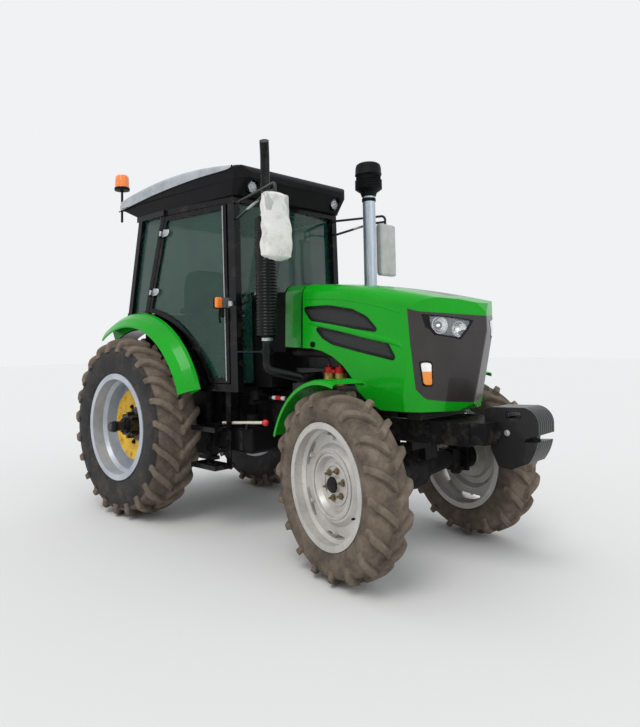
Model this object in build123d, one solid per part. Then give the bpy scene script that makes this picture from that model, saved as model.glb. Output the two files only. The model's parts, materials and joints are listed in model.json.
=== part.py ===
from build123d import *
from math import asin, atan2, cos, degrees, hypot, pi, radians, sin, sqrt
import os

# Farm tractor with a closed cab, in millimetres.
# Working frame: X forward from the rear axle, Y to the left, Z up from the ground.
# The last step moves everything so that the origin is under the middle of the whole machine.

# ---------------------------------------------------------------- driving sizes
REAR_RADIUS = 652.0          # rear tyre, to the lug tips
REAR_TRACK = 663.0           # wheel centre from the middle of the machine
REAR_LUGS = 23               # tread bars on each side
REAR_SEAT = 355.0            # bead seat radius of the rim
REAR_FLANGE = 388.0          # rim flange radius
REAR_RIM_HALF = 152.0        # bead seat half width

FRONT_RADIUS = 497.0
FRONT_TRACK = 618.0
FRONT_LUGS = 18
FRONT_SEAT = 304.0
FRONT_FLANGE = 330.0
FRONT_RIM_HALF = 86.0

AXLE_X = 2028.0              # front axle, ahead of the rear axle
KING_PIN_Y = 500.0           # king pin from the middle of the machine
STEER_REST = -13.6           # front wheels are parked turned to the right, in degrees
FLANGE_WALL = 8.0            # rim plate thickness
AXLE_TIP = 870.0             # end of the rear axle bar from the middle
CAB_HALF = 620.0             # cab's half width behind the doors
FRONT_HALF = 515.0           # cab's half width at the front posts
ARCH_RADIUS = 842.0          # rear fender's inner edge about the rear axle
ARCH_TOP = REAR_RADIUS + ARCH_RADIUS

GAP = 6.0                    # clearance between moving panels and what they close on
RUN = 0.06                   # radial clearance of a pin in its bore
SEAT_GAP = 0.3               # between a turning piece and the face it turns against

OUT = "parts"
nodes = {}


# ---------------------------------------------------------------- helpers
def box(x, y, z):
    """Block between pairs of limits."""
    return Pos((x[0] + x[1]) / 2, (y[0] + y[1]) / 2, (z[0] + z[1]) / 2) * Box(
        x[1] - x[0], y[1] - y[0], z[1] - z[0]
    )


def rod(start, end, radius):
    """Round bar between two points."""
    a, b = Vector(*start), Vector(*end)
    face = Plane(origin=a, z_dir=(b - a)) * Circle(radius)
    return extrude(face, amount=(b - a).length)


def tube(points, radius, bend):
    """Round bar along straight runs with rounded corners."""
    path = FilletPolyline(*points, radius=bend)
    return sweep(Plane(origin=path @ 0, z_dir=path % 0) * Circle(radius), path=path)


def side_plate(outline, y, corner=0.0):
    """Plate with its outline given as (x, z), between two values of y."""
    points = [(px, y[0], pz) for px, pz in outline]
    wire = FilletPolyline(*points, radius=corner, close=True) if corner else Polyline(*points, close=True)
    return extrude(make_face(wire), amount=y[1] - y[0], dir=(0, 1, 0))


def front_plate(outline, x, corner=0.0):
    """Plate with its outline given as (y, z), between two values of x."""
    points = [(x[0], py, pz) for py, pz in outline]
    wire = FilletPolyline(*points, radius=corner, close=True) if corner else Polyline(*points, close=True)
    return extrude(make_face(wire), amount=x[1] - x[0], dir=(1, 0, 0))


def flat_plate(outline, z, corner=0.0):
    """Plate with its outline given as (x, y), between two values of z."""
    points = [(px, py, z[0]) for px, py in outline]
    wire = FilletPolyline(*points, radius=corner, close=True) if corner else Polyline(*points, close=True)
    return extrude(make_face(wire), amount=z[1] - z[0], dir=(0, 0, 1))


def wheel_turned(profile, arc=360.0, start=90.0):
    """Ring about the Y axis; the profile is (radius, y), and start is its first angle above +X."""
    face = make_face(Polyline(*[(0, w, r) for r, w in profile], close=True))
    ring = revolve(face, axis=Axis.Y, revolution_arc=arc)
    return Rot(0, 90 - start, 0) * ring


def right_of(shape):
    """The same piece on the right-hand side."""
    return mirror(shape, about=Plane.XZ)


def both_sides(shape):
    """A left-hand piece and its right-hand twin."""
    return [shape, right_of(shape)]


def joined(*pieces):
    """One solid from pieces that overlap or share a face."""
    body = pieces[0]
    for piece in pieces[1:]:
        body = body + piece
    return body


def along(angle, length, start):
    """Point at a length and an angle above +X from a start (x, z)."""
    return (start[0] + length * cos(radians(angle)), start[1] + length * sin(radians(angle)))


# ---------------------------------------------------------------- wheels
# A tyre's casing and bars. Heights are from the rim flange outwards or down from the bars' tips,
# half widths are from the wheel's middle, and a bar's half widths are shares of the bars' pitch.
REAR_TREAD = {
    "over_flange": 4.0, "belly": ((62.0, 171.0), (152.0, 171.0)), "edge": (52.0, 146.0), "floor": 36.0,
    "bar_edge": (15.0, 136.0), "groove": 6.0, "foot": 0.28, "tip": 0.21, "lead": 0.86,
}
FRONT_TREAD = {
    "over_flange": 3.0, "belly": ((36.0, 108.0), (92.0, 109.0)), "edge": (42.0, 92.0), "floor": 28.0,
    "bar_edge": (12.0, 86.0), "groove": 5.0, "foot": 0.28, "tip": 0.21, "lead": 0.62,
}


def ring(corners, angles):
    """Points about the Y axis: each corner is (radius, y), each angle is from the top towards the front."""
    return [Vector(r * sin(a), y, r * cos(a)) for (r, y), a in zip(corners, angles)]


def facets(low, high):
    """Triangles between two rings of equally many points; those with no area are left out."""
    found = []
    for k, point in enumerate(low):
        after = (k + 1) % len(low)
        for corners in ((point, low[after], high[after]), (point, high[after], high[k])):
            sides = [(corners[i] - corners[i - 1]).length for i in range(3)]
            if min(sides) > RUN:
                found.append(Face(Wire.make_polygon(corners)))
    return found


def tyre(radius, lugs, seat, flange, rim_half, tread):
    """Farm tyre at the origin, turning about Y, in flat facets out to the tips of its bars.
    Each side is a row of rings from the bead to the middle; the bars of the two sides are half a
    pitch apart and end at a narrow groove, with their middle ends leading."""
    pitch = 2 * pi / lugs
    snug = cos(pitch / 4)
    floor = radius - tread["floor"]
    edge = (radius - tread["edge"][0], tread["edge"][1])
    bar_edge = (radius - tread["bar_edge"][0], tread["bar_edge"][1])
    walls = [(seat / snug, rim_half), (flange + tread["over_flange"], rim_half)]
    walls += [(flange + rise, half) for rise, half in tread["belly"]]
    foot, tip, lead = (share * pitch for share in (tread["foot"], tread["tip"], tread["lead"]))
    even = (-pitch / 4, -pitch / 4, pitch / 4, pitch / 4)
    rows = []
    for side in (1, -1):
        start = 0.0 if side > 0 else -pitch / 2
        bases = [start + k * pitch for k in range(lugs)]
        places = [
            ((floor, floor, floor, floor), (-foot, -foot, foot, foot), tread["groove"], lead / 2),
            ((floor, radius, radius, floor), (-foot, -tip, tip, foot), tread["groove"], lead / 2),
            ((edge[0], bar_edge[0], bar_edge[0], edge[0]), (-foot, -tip, tip, foot), None, -lead / 2),
            ((edge[0],) * 4, (-foot, -foot, foot, foot), edge[1], -lead / 2),
        ]
        half = []
        for radii, spread, y, turn in places:
            ys = (edge[1], bar_edge[1], bar_edge[1], edge[1]) if y is None else (y,) * 4
            corners = [(r, side * w) for r, w in zip(radii, ys)] * lugs
            half.append(ring(corners, [base + turn + a for base in bases for a in spread]))
        for r, y in reversed(walls):
            half.append(ring([(r, side * y)] * 4 * lugs, [base - lead / 2 + a for base in bases for a in even]))
        rows += half[::-1] if side > 0 else [points[2:] + points[:2] for points in half]
    skin = [face for k in range(len(rows)) for face in facets(rows[k - 1], rows[k])]
    body = Solid(Shell(skin))
    return body if body.volume > 0 else -body


def rim(seat, flange, half, well):
    """Pressed rim at the origin: bead seats, a drop centre and turned-out flanges."""
    wall = FLANGE_WALL
    outer = [
        (flange, -half - wall),
        (flange, -half),
        (seat, -half),
        (seat, -0.45 * half),
        (seat - well, -0.3 * half),
        (seat - well, 0.3 * half),
        (seat, 0.45 * half),
        (seat, half),
        (flange, half),
        (flange, half + wall),
        (seat - wall, half + wall),
        (seat - wall, 0.5 * half),
        (seat - well - wall, 0.33 * half),
        (seat - well - wall, -0.33 * half),
        (seat - wall, -0.5 * half),
        (seat - wall, -half - wall),
    ]
    return wheel_turned(outer)


REAR_DISC_RADIUS = 262.0     # round plate that joins the rim's brackets to the hub
REAR_DISC_WALL = 10.0
REAR_HUB_RADIUS = 75.0
TRUMPET_END = 478.0          # outer end of the rear axle housing
REAR_BAR_RADIUS = 35.0       # rear axle bar
REAR_DISC_Y = -8.0           # disc from the middle of the wheel, outwards positive
REAR_WELL = 22.0
WEB_BORE = 225.0             # opening in the rim's web, behind the disc
WEB_CONE = 22.0              # how far the web falls inwards out to the rim
WEB_LAP = 2.0                # weld between the web and the rim
HUB_TEETH = 8

FRONT_WELL = 18.0
FRONT_DISC_Y = 26.0
FRONT_DISC_WALL = 9.0
FRONT_HUB_BORE = 42.0
FRONT_LOBES = 6
HUB_RADIUS = 78.0            # front hub drum
HUB_DEPTH = 7.0              # where the drum ends, inside the wheel's middle


def rear_wheel_parts():
    """Left rear wheel at the origin, outwards along +Y: tyre, rim with brackets, disc and hub."""
    rubber = tyre(REAR_RADIUS, REAR_LUGS, REAR_SEAT, REAR_FLANGE, REAR_RIM_HALF, REAR_TREAD)
    steel = rim(REAR_SEAT, REAR_FLANGE, REAR_RIM_HALF, REAR_WELL)
    inner = REAR_SEAT - REAR_WELL - FLANGE_WALL
    face = REAR_DISC_Y + REAR_DISC_WALL
    low = REAR_DISC_Y - FLANGE_WALL
    web = [
        (inner + WEB_LAP, low - WEB_CONE), (inner + WEB_LAP, low - WEB_CONE + FLANGE_WALL),
        (REAR_DISC_RADIUS + 4, REAR_DISC_Y), (WEB_BORE, REAR_DISC_Y), (WEB_BORE, low), (REAR_DISC_RADIUS, low),
    ]
    steel = joined(steel, wheel_turned(web))
    dish = wheel_turned(
        [
            (REAR_DISC_RADIUS, REAR_DISC_Y),
            (REAR_DISC_RADIUS, face),
            (200, face),
            (160, face - 26),
            (REAR_HUB_RADIUS, face - 26),
            (REAR_HUB_RADIUS, face - 26 - REAR_DISC_WALL),
            (165, face - 26 - REAR_DISC_WALL),
            (205, REAR_DISC_Y),
        ]
    )
    tip = AXLE_TIP - REAR_TRACK
    hub = wheel_turned(
        [
            (0, TRUMPET_END + SEAT_GAP - REAR_TRACK),
            (REAR_BAR_RADIUS + 22, TRUMPET_END + SEAT_GAP - REAR_TRACK),
            (REAR_BAR_RADIUS + 22, -60),
            (REAR_HUB_RADIUS + 45, -60),
            (REAR_HUB_RADIUS + 45, face - 26 - REAR_DISC_WALL),
            (REAR_HUB_RADIUS, face - 26 - REAR_DISC_WALL),
            (REAR_HUB_RADIUS, 70),
            (REAR_BAR_RADIUS, 70),
            (REAR_BAR_RADIUS, tip - 8),
            (REAR_BAR_RADIUS - 8, tip),
            (0, tip),
        ]
    )
    for k in range(HUB_TEETH):
        tooth = box((REAR_BAR_RADIUS, REAR_HUB_RADIUS + 22), (5, 62), (-11, 11))
        hub = hub + Rot(0, 360.0 / HUB_TEETH * k, 0) * tooth
    return {"tyre": rubber, "rim": steel, "disc": joined(hub, dish)}


def front_wheel_parts():
    """Left front wheel at the origin, outwards along +Y: tyre and rim with a lobed disc."""
    rubber = tyre(FRONT_RADIUS, FRONT_LUGS, FRONT_SEAT, FRONT_FLANGE, FRONT_RIM_HALF, FRONT_TREAD)
    steel = rim(FRONT_SEAT, FRONT_FLANGE, FRONT_RIM_HALF, FRONT_WELL)
    edge = FRONT_SEAT - FRONT_WELL - FLANGE_WALL + 2
    y0 = FRONT_DISC_Y - FRONT_DISC_WALL
    disc = wheel_turned(
        [
            (FRONT_HUB_BORE, y0 - 10),
            (FRONT_HUB_BORE, FRONT_DISC_Y - 10),
            (135, FRONT_DISC_Y - 10),
            (150, FRONT_DISC_Y + 16),
            (190, FRONT_DISC_Y + 16),
            (215, FRONT_DISC_Y - 6),
            (edge, FRONT_DISC_Y - 6),
            (edge, y0 - 6),
            (212, y0 - 6),
            (187, y0 + 16),
            (153, y0 + 16),
            (138, y0 - 10),
        ]
    )
    for k in range(FRONT_LOBES):
        notch = box((edge - 26, edge + 20), (y0 - 20, FRONT_DISC_Y + 30), (-78, 78))
        disc = disc - Rot(0, 360.0 / FRONT_LOBES * (k + 0.5), 0) * notch
    hub = wheel_turned(
        [
            (0, -HUB_DEPTH + SEAT_GAP),
            (HUB_RADIUS, -HUB_DEPTH + SEAT_GAP),
            (HUB_RADIUS, y0 - 10),
            (FRONT_HUB_BORE, y0 - 10),
            (FRONT_HUB_BORE, FRONT_DISC_Y + 8),
            (FRONT_HUB_BORE - 12, FRONT_DISC_Y + 18),
            (0, FRONT_DISC_Y + 18),
        ]
    )
    return {"tyre": rubber, "rim": joined(steel, disc, hub)}


def placed_rear_wheels():
    """Both rear wheels on their axle, three nodes a side."""
    for name, piece in rear_wheel_parts().items():
        left = Pos(0, REAR_TRACK, REAR_RADIUS) * piece
        nodes[f"rear_{name}_left"] = left
        nodes[f"rear_{name}_right"] = right_of(left)


def steered(shape, side):
    """Turn a piece with its king pin from straight ahead to the parked angle; side is +1 left, -1 right."""
    pin = side * KING_PIN_Y
    return Pos(AXLE_X, pin, 0) * Rot(0, 0, STEER_REST) * Pos(-AXLE_X, -pin, 0) * shape


# ---------------------------------------------------------------- front axle, knuckles and front fenders
BEAM_END = 452.0             # outer end of the axle beam
KNUCKLE_HALF = 92.0          # height of the knuckle above and below the hub line
KING_PIN_RADIUS = 20.0
ARM_LENGTH = 200.0           # steering arm, backwards from the king pin
ARM_DROP = 75.0              # steering arm below the hub line
TIE_ROD_RADIUS = 14.0
FENDER_INNER = 548.0         # front fender's inner radius about the wheel
FENDER_WALL = 5.0
FENDER_SPAN = (77.0, 158.0)  # its ends, in degrees above +X
FENDER_Y = (514.0, 728.0)
FENDER_STAY = 116.0          # angle of the fender stay above +X
STAY_INSET = 28.0            # stay from the king pin, towards the middle


def front_axle_beam():
    """Cast drive axle: centre housing, tapered arms, forks for the king pins and the pivot block on top."""
    z = FRONT_RADIUS
    beam = Pos(AXLE_X, 0, z) * Sphere(125)
    for side in (1, -1):
        arm = Pos(AXLE_X, side * 235, z) * Rot(-90 * side, 0, 0) * Cone(82, 52, 370)
        fork = box((AXLE_X - 52, AXLE_X + 52), sorted((side * (BEAM_END - 62), side * (BEAM_END - 6))), (z - 60, z + 60))
        ears = []
        for low in (z + 36, z - 60):
            ears.append(box((AXLE_X - 34, AXLE_X + 34), sorted((side * (BEAM_END - 62), side * KING_PIN_Y)), (low, low + 24)))
            ears.append(Pos(AXLE_X, side * KING_PIN_Y, low + 12) * Cylinder(34, 24))
        pin_hole = Pos(AXLE_X, side * KING_PIN_Y, z) * Cylinder(KING_PIN_RADIUS + RUN, 200)
        beam = joined(beam, arm, fork, *ears) - pin_hole
    return joined(beam, box((AXLE_X - 105, AXLE_X + 105), (-75, 75), (z + 60, z + 133)))


def knuckle():
    """Left wheel hub carrier, straight ahead: king pin, drum, hub, steering arm and fender stay."""
    z = FRONT_RADIUS
    y = KING_PIN_Y
    hub_end = FRONT_TRACK - HUB_DEPTH
    pin = Pos(AXLE_X, y, z) * Cylinder(KING_PIN_RADIUS, 2 * KNUCKLE_HALF)
    core = Pos(AXLE_X, y, z) * Cylinder(34, 2 * (36 - 1))
    caps = [
        box((AXLE_X - 38, AXLE_X + 38), (y - 30, y + 62), (z + 61, z + 61 + 26)),
        box((AXLE_X - 38, AXLE_X + 38), (y - 30, y + 62), (z - 61 - 26, z - 61)),
    ]
    plate = box((AXLE_X - 60, AXLE_X + 60), (y + 40, y + 62), (z - 87, z + 87))
    drum = Pos(AXLE_X, (y + 62 + hub_end) / 2, z) * Rot(90, 0, 0) * Cylinder(HUB_RADIUS, hub_end - y - 62)
    stub = Pos(AXLE_X, y + 30, z) * Rot(90, 0, 0) * Cylinder(30, 40)
    arm = flat_plate(
        [(AXLE_X - 30, y - 24), (AXLE_X - 30, y + 24), (AXLE_X - ARM_LENGTH - 22, y + 20), (AXLE_X - ARM_LENGTH - 22, y - 20)],
        (z - ARM_DROP - 12, z - ARM_DROP + 8),
    )
    arm = arm - Pos(AXLE_X - ARM_LENGTH, y, z - ARM_DROP) * Cylinder(TIE_PIN_RADIUS + RUN, 80)
    foot = (AXLE_X, z)
    lean = FENDER_STAY
    stay = side_plate(
        [(AXLE_X - 30, z + 61), (AXLE_X + 30, z + 61), along(lean - 3, FENDER_INNER - 6, foot), along(lean + 3, FENDER_INNER - 6, foot)],
        (y - STAY_INSET, y - STAY_INSET + 10),
    )
    shelf = side_plate(
        [along(lean - 3, FENDER_INNER - 16, foot), along(lean + 3, FENDER_INNER - 16, foot), along(lean + 3, FENDER_INNER - 6, foot), along(lean - 3, FENDER_INNER - 6, foot)],
        (y - STAY_INSET, FENDER_Y[0]),
    )
    stay = joined(stay, shelf)
    return joined(pin, core, *caps, plate, drum, stub, arm, stay)


def front_fender():
    """Left front fender over the straight wheel: a curved sheet with turned-down edges."""
    low, high = FENDER_Y
    skin = wheel_turned(
        [
            (FENDER_INNER - 22, low), (FENDER_INNER + FENDER_WALL - 8, low), (FENDER_INNER + FENDER_WALL, low + 16),
            (FENDER_INNER + FENDER_WALL, high - 16), (FENDER_INNER + FENDER_WALL - 8, high), (FENDER_INNER - 22, high),
            (FENDER_INNER - 22, high - FENDER_WALL), (FENDER_INNER - 10, high - FENDER_WALL), (FENDER_INNER, high - 18),
            (FENDER_INNER, low + 18), (FENDER_INNER - 10, low + FENDER_WALL), (FENDER_INNER - 22, low + FENDER_WALL),
        ],
        arc=FENDER_SPAN[1] - FENDER_SPAN[0],
        start=FENDER_SPAN[1],
    )
    return Pos(AXLE_X, 0, FRONT_RADIUS) * skin


TIE_PIN_RADIUS = 9.0


def tie_rod():
    """Rod behind the axle between both steering arms, with a pin up through each."""
    z = FRONT_RADIUS - ARM_DROP
    ends = []
    for side in (1, -1):
        angle = radians(STEER_REST)
        ends.append((AXLE_X - ARM_LENGTH * cos(angle), side * KING_PIN_Y - ARM_LENGTH * sin(angle)))
    low = z - 12 - 6 - TIE_ROD_RADIUS
    bar = rod((ends[0][0], ends[0][1] + 24, low), (ends[1][0], ends[1][1] - 24, low), TIE_ROD_RADIUS)
    for x, y in ends:
        eye = Pos(x, y, low) * Cylinder(22, 2 * TIE_ROD_RADIUS)
        pin = Pos(x, y, (low + z + 10) / 2) * Cylinder(TIE_PIN_RADIUS, z + 10 - low)
        bar = joined(bar, eye, pin)
    return bar


# ---------------------------------------------------------------- driveline and front frame
HOUSING_HALF = 185.0         # half width of the castings under the cab
ENGINE_HALF = 188.0
ENGINE_X = (1230.0, 1810.0)
RAIL_Z = (690.0, 815.0)
RAIL_WALL = 27.0
RAIL_END = 2548.0            # front end of the frame rails
CAB_FLOOR_Z = 930.0          # underside of the cab
MOUNT_X = (0.0, 975.0)       # rubber mounts under the cab, rear and front pair
MOUNT_Y = (370.0, 290.0)
MOUNT_RADIUS = 38.0
LINK_PIN = (-140.0, 420.0)   # lower link pivot, (x, z)
LINK_PIN_Y = 240.0
LIFT_SHAFT = (-250.0, 850.0)  # lift arm shaft, (x, z)
LIFT_SHAFT_RADIUS = 28.0
PTO_Z = 560.0
PTO_RADIUS = 17.5
HOUSING_REAR = -285.0


def engine_block():
    """Plain engine: block, head, rocker cover, oil pan and the front cover with its pulley."""
    x0, x1 = ENGINE_X
    h = ENGINE_HALF
    block = box((x0, x1), (-h, h), (600, 980))
    head = box((x0 + 20, x1 - 20), (-h + 22, h - 22), (980, 1080))
    cover = fillet(box((x0 + 45, x1 - 45), (-95, 95), (1080, 1165)).edges().filter_by(Axis.Z), 22)
    pan = front_plate([(-h, 600), (h, 600), (140, 520), (-140, 520)], (x0 + 40, x1 - 60))
    front = box((x1, x1 + 30), (-150, 150), (640, 960))
    pulley = Pos(x1 + 43, 0, 730) * Rot(0, 90, 0) * Cylinder(85, 26)
    return joined(block, head, cover, pan, front, pulley)


def engine_ancillaries():
    """What hangs on the open side of the engine: oil filter, fuel filters, alternator, starter and manifold."""
    side = -ENGINE_HALF
    oil = joined(
        Pos(1540, side - 52, 900) * Cylinder(46, 130),
        box((1510, 1570), (side - 52, side), (945, 975)),
    )
    fuel = joined(
        Pos(1610, side - 44, 1040) * Cylinder(36, 110),
        Pos(1700, side - 44, 1040) * Cylinder(36, 110),
        box((1580, 1730), (side - 66, side + 22), (1060, 1078)),
    )
    alternator = joined(
        Pos(1740, side - 52, 900) * Rot(0, 90, 0) * Cylinder(58, 110),
        box((1715, 1765), (side - 40, side), (860, 940)),
    )
    starter = joined(
        Pos(1330, side - 40, 642) * Rot(0, 90, 0) * Cylinder(38, 150),
        box((1262, 1290), (side - 60, side), (612, 680)),
    )
    return [oil, fuel, alternator, starter]


def gearbox_housing():
    """Clutch and gearbox casting from the engine to the rear axle, with its ribs."""
    h = HOUSING_HALF
    bell = front_plate([(-h, 600), (-h, 860), (-120, 925), (120, 925), (h, 860), (h, 600), (110, 520), (-110, 520)], (1050, ENGINE_X[0]))
    case = box((300, 1050), (-h + 30, h - 30), (500, 890))
    ribs = [box((x, x + 16), (-h + 8, h - 8), (520, 870)) for x in (420, 620, 820, 1020)]
    flange = box((300, 330), (-h, h), (470, 910))
    feet = []
    for side in (1, -1):
        feet.append(box((MOUNT_X[1] - 25, MOUNT_X[1] + 25), sorted((side * (h - 40), side * (MOUNT_Y[1] + 45))), (835, 865)))
        feet.append(Pos(MOUNT_X[1], side * MOUNT_Y[1], (865 + CAB_FLOOR_Z) / 2) * Cylinder(MOUNT_RADIUS, CAB_FLOOR_Z - 865))
    return joined(bell, case, flange, *ribs, *feet)


def rear_axle_housing():
    """Rear axle centre casting with trumpets, link pivots, lift cover, top link lugs, drawbar and its hanger."""
    h = HOUSING_HALF
    centre = box((HOUSING_REAR, 300), (-h, h), (400, 880))
    trumpets = [
        Pos(0, side * (h + 60), REAR_RADIUS) * Rot(90, 0, 0) * Cylinder(118, 120)
        + Pos(0, side * (h + TRUMPET_END) / 2, REAR_RADIUS) * Rot(90, 0, 0) * Cylinder(88, TRUMPET_END - h)
        + Pos(0, side * (TRUMPET_END - 25), REAR_RADIUS) * Rot(90, 0, 0) * Cylinder(120, 50)
        for side in (1, -1)
    ]
    towers = []
    for side in (1, -1):
        towers.append(box((MOUNT_X[0] - 42, MOUNT_X[0] + 42), sorted((side * (MOUNT_Y[0] - 42), side * (MOUNT_Y[0] + 42))), (REAR_RADIUS + 60, 865)))
        towers.append(Pos(MOUNT_X[0], side * MOUNT_Y[0], (865 + CAB_FLOOR_Z) / 2) * Cylinder(MOUNT_RADIUS, CAB_FLOOR_Z - 865))
    shaft_x, shaft_z = LIFT_SHAFT
    cover = box((shaft_x - 60, 60), (-h + 20, h - 20), (780, 922))
    housing = joined(centre, *trumpets, *towers, cover)
    housing = housing - Pos(shaft_x, 0, shaft_z) * Rot(90, 0, 0) * Cylinder(LIFT_SHAFT_RADIUS + RUN, 2 * h + 200)
    pin_x, pin_z = LINK_PIN
    for side in (1, -1):
        boss = Pos(pin_x, side * (h + 20), pin_z + 10) * Rot(90, 0, 0) * Cylinder(42, 42)
        pin = Pos(pin_x, side * (h + LINK_PIN_Y + 34) / 2, pin_z) * Rot(90, 0, 0) * Cylinder(LINK_PIN_RADIUS, LINK_PIN_Y + 34 - h)
        washer = Pos(pin_x, side * (LINK_PIN_Y + 28), pin_z) * Rot(90, 0, 0) * Cylinder(24, 8)
        housing = joined(housing, boss, pin, washer)
    lugs = [
        side_plate([(HOUSING_REAR, 690), (HOUSING_REAR, 850), (TOP_PIN[0] - 24, 820), (TOP_PIN[0] - 24, 760)], (y, y + 14))
        for y in (-40, 26)
    ]
    top_pin = Pos(TOP_PIN[0], 0, TOP_PIN[1]) * Rot(90, 0, 0) * Cylinder(TOP_PIN_RADIUS, 100)
    boss = Pos(HOUSING_REAR, 0, PTO_Z) * Rot(0, 90, 0) * Cylinder(60, 30)
    bore = Pos(HOUSING_REAR, 0, PTO_Z) * Rot(0, 90, 0) * Cylinder(PTO_RADIUS + RUN, 240)
    hanger = box((HOUSING_REAR + 5, HOUSING_REAR + 45), (-60, 60), (345, 400))
    front_hanger = box((60, 100), (-60, 60), (345, 400))
    bar = box((-640, 140), (-38, 38), (315, 345)) - Pos(-600, 0, 330) * Cylinder(DRAWBAR_HOLE, 60)
    return joined(housing, *lugs, top_pin, boss, hanger, front_hanger, bar) - bore


LINK_PIN_RADIUS = 14.0
TOP_PIN = (-352.0, 790.0)
TOP_LINK = (22.0, 470.0)      # parked top link: its far end from the pin, along x and z
TOP_PIN_RADIUS = 9.5
DRAWBAR_HOLE = 15.0
LINK_HALF = 10.0             # half thickness of the lower link bar
LINK_LENGTH = 740.0
LINK_REST = 3.0              # lower link's parked angle above level, in degrees
LIFT_PITCH = 330.0           # lift arm length, and the rod's place along the lower link
ROD_PIN_RADIUS = 10.0
BALL_BORE = 14.0             # lower link ball, for a 28 mm pin
BALL_Y = 400.0               # lower link ball from the middle of the machine
ROD_Y = 14.0                 # lift rod beside the lower link, centre to centre outwards


def link_point(start, length):
    """Point on a line parallel to the lower link at rest, backwards from a start (x, z)."""
    return along(180 - LINK_REST, length, start)


def lower_link():
    """Left link: a flat bar with an eye on the axle housing, a bend outwards and a ball end."""
    y = LINK_PIN_Y
    out = BALL_Y
    bx, bz = LINK_PIN
    plan = [
        (bx + 0, y - LINK_HALF), (bx - LIFT_PITCH - 60, y - LINK_HALF), (bx - LINK_LENGTH + 60, out - LINK_HALF),
        (bx - LINK_LENGTH, out - LINK_HALF), (bx - LINK_LENGTH, out + LINK_HALF), (bx - LINK_LENGTH + 66, out + LINK_HALF),
        (bx - LIFT_PITCH - 54, y + LINK_HALF), (bx + 0, y + LINK_HALF),
    ]
    bar = flat_plate(plan, (bz - 28, bz + 28))
    across = Rot(90, 0, 0)
    eye = Pos(bx, y, bz) * across * Cylinder(38, 2 * LINK_HALF + 8)
    ball = Pos(bx - LINK_LENGTH, out, bz) * across * Cylinder(40, 44)
    pin_y = y + LINK_HALF + ROD_Y + 6
    pin = Pos(bx - LIFT_PITCH, (y + pin_y) / 2, bz) * across * Cylinder(ROD_PIN_RADIUS, pin_y - y)
    holes = joined(
        Pos(bx, y, bz) * across * Cylinder(LINK_PIN_RADIUS + RUN, 60),
        Pos(bx - LINK_LENGTH, out, bz) * across * Cylinder(BALL_BORE, 90),
    )
    link = joined(bar, eye, ball, pin) - holes
    return Pos(bx, 0, bz) * Rot(0, LINK_REST, 0) * Pos(-bx, 0, -bz) * link


def lift_arms():
    """Cross shaft with an arm and a rod pin at each end."""
    sx, sz = LIFT_SHAFT
    cx, cz = link_point(LIFT_SHAFT, LIFT_PITCH)
    across = Rot(90, 0, 0)
    body = Pos(sx, 0, sz) * across * Cylinder(LIFT_SHAFT_RADIUS, 2 * (LINK_PIN_Y + LINK_HALF))
    for side in (1, -1):
        y = side * LINK_PIN_Y
        walls = sorted((y - LINK_HALF, y + LINK_HALF))
        arm = side_plate(
            [along(90 - LINK_REST, 40, (sx, sz)), along(-90 - LINK_REST, 40, (sx, sz)), along(-90 - LINK_REST, 20, (cx, cz)), along(90 - LINK_REST, 20, (cx, cz))],
            walls,
        )
        pin_y = y + side * (LINK_HALF + ROD_Y + 6)
        body = joined(
            body, arm,
            Pos(sx, y, sz) * across * Cylinder(44, 2 * LINK_HALF),
            Pos(cx, y, cz) * across * Cylinder(24, 2 * LINK_HALF),
            Pos(cx, (y + pin_y) / 2, cz) * across * Cylinder(ROD_PIN_RADIUS, abs(pin_y - y)),
        )
    return body


def lift_rod():
    """Left adjustable rod from the lift arm down to the lower link: two eyes, a barrel and a screw."""
    y = LINK_PIN_Y + LINK_HALF + ROD_Y - 2
    top = link_point(LIFT_SHAFT, LIFT_PITCH)
    low = link_point(LINK_PIN, LIFT_PITCH)
    across = Rot(90, 0, 0)
    rise = Vector(top[0] - low[0], 0, top[1] - low[1]).normalized()
    a = (low[0] + 20 * rise.X, y, low[1] + 20 * rise.Z)
    b = (top[0] - 20 * rise.X, y, top[1] - 20 * rise.Z)
    mid_a = (low[0] + 110 * rise.X, y, low[1] + 110 * rise.Z)
    mid_b = (low[0] + 330 * rise.X, y, low[1] + 330 * rise.Z)
    body = joined(
        Pos(top[0], y, top[1]) * across * Cylinder(23, 14),
        Pos(low[0], y, low[1]) * across * Cylinder(23, 14),
        rod(a, b, 6),
        rod(mid_a, mid_b, 15),
    )
    for x, z in (top, low):
        body = body - Pos(x, y, z) * across * Cylinder(ROD_PIN_RADIUS + RUN, 60)
    return body


def top_link():
    """Turnbuckle parked upright on the rear wall of the cab, on its pin in the lift cover's lugs."""
    x, z = TOP_PIN
    end = (x + TOP_LINK[0], z + TOP_LINK[1])
    across = Rot(90, 0, 0)
    body = joined(
        Pos(x, 0, z) * across * Cylinder(24, 48),
        rod((x + 1, 0, z + 15), (end[0], 0, end[1]), 10),
        rod((x + 6, 0, z + 130), (x + 16, 0, z + 340), 17),
        Pos(end[0], 0, end[1]) * across * Cylinder(24, 40),
    )
    for px, pz in ((x, z), end):
        body = body - Pos(px, 0, pz) * across * Cylinder(TOP_PIN_RADIUS, 100)
    return body


def pto_shaft():
    """Power take-off stub with its splined end, turning in the rear axle housing."""
    splines = 6
    shaft = Pos(HOUSING_REAR - 10, 0, PTO_Z) * Rot(0, 90, 0) * Cylinder(PTO_RADIUS, 200)
    for k in range(splines):
        groove = Pos(HOUSING_REAR - 90, 0, PTO_Z) * Rot(360.0 / splines * k, 0, 0) * Pos(0, 0, PTO_RADIUS) * Box(70, 7, 6)
        shaft = shaft - groove
    return shaft


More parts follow.
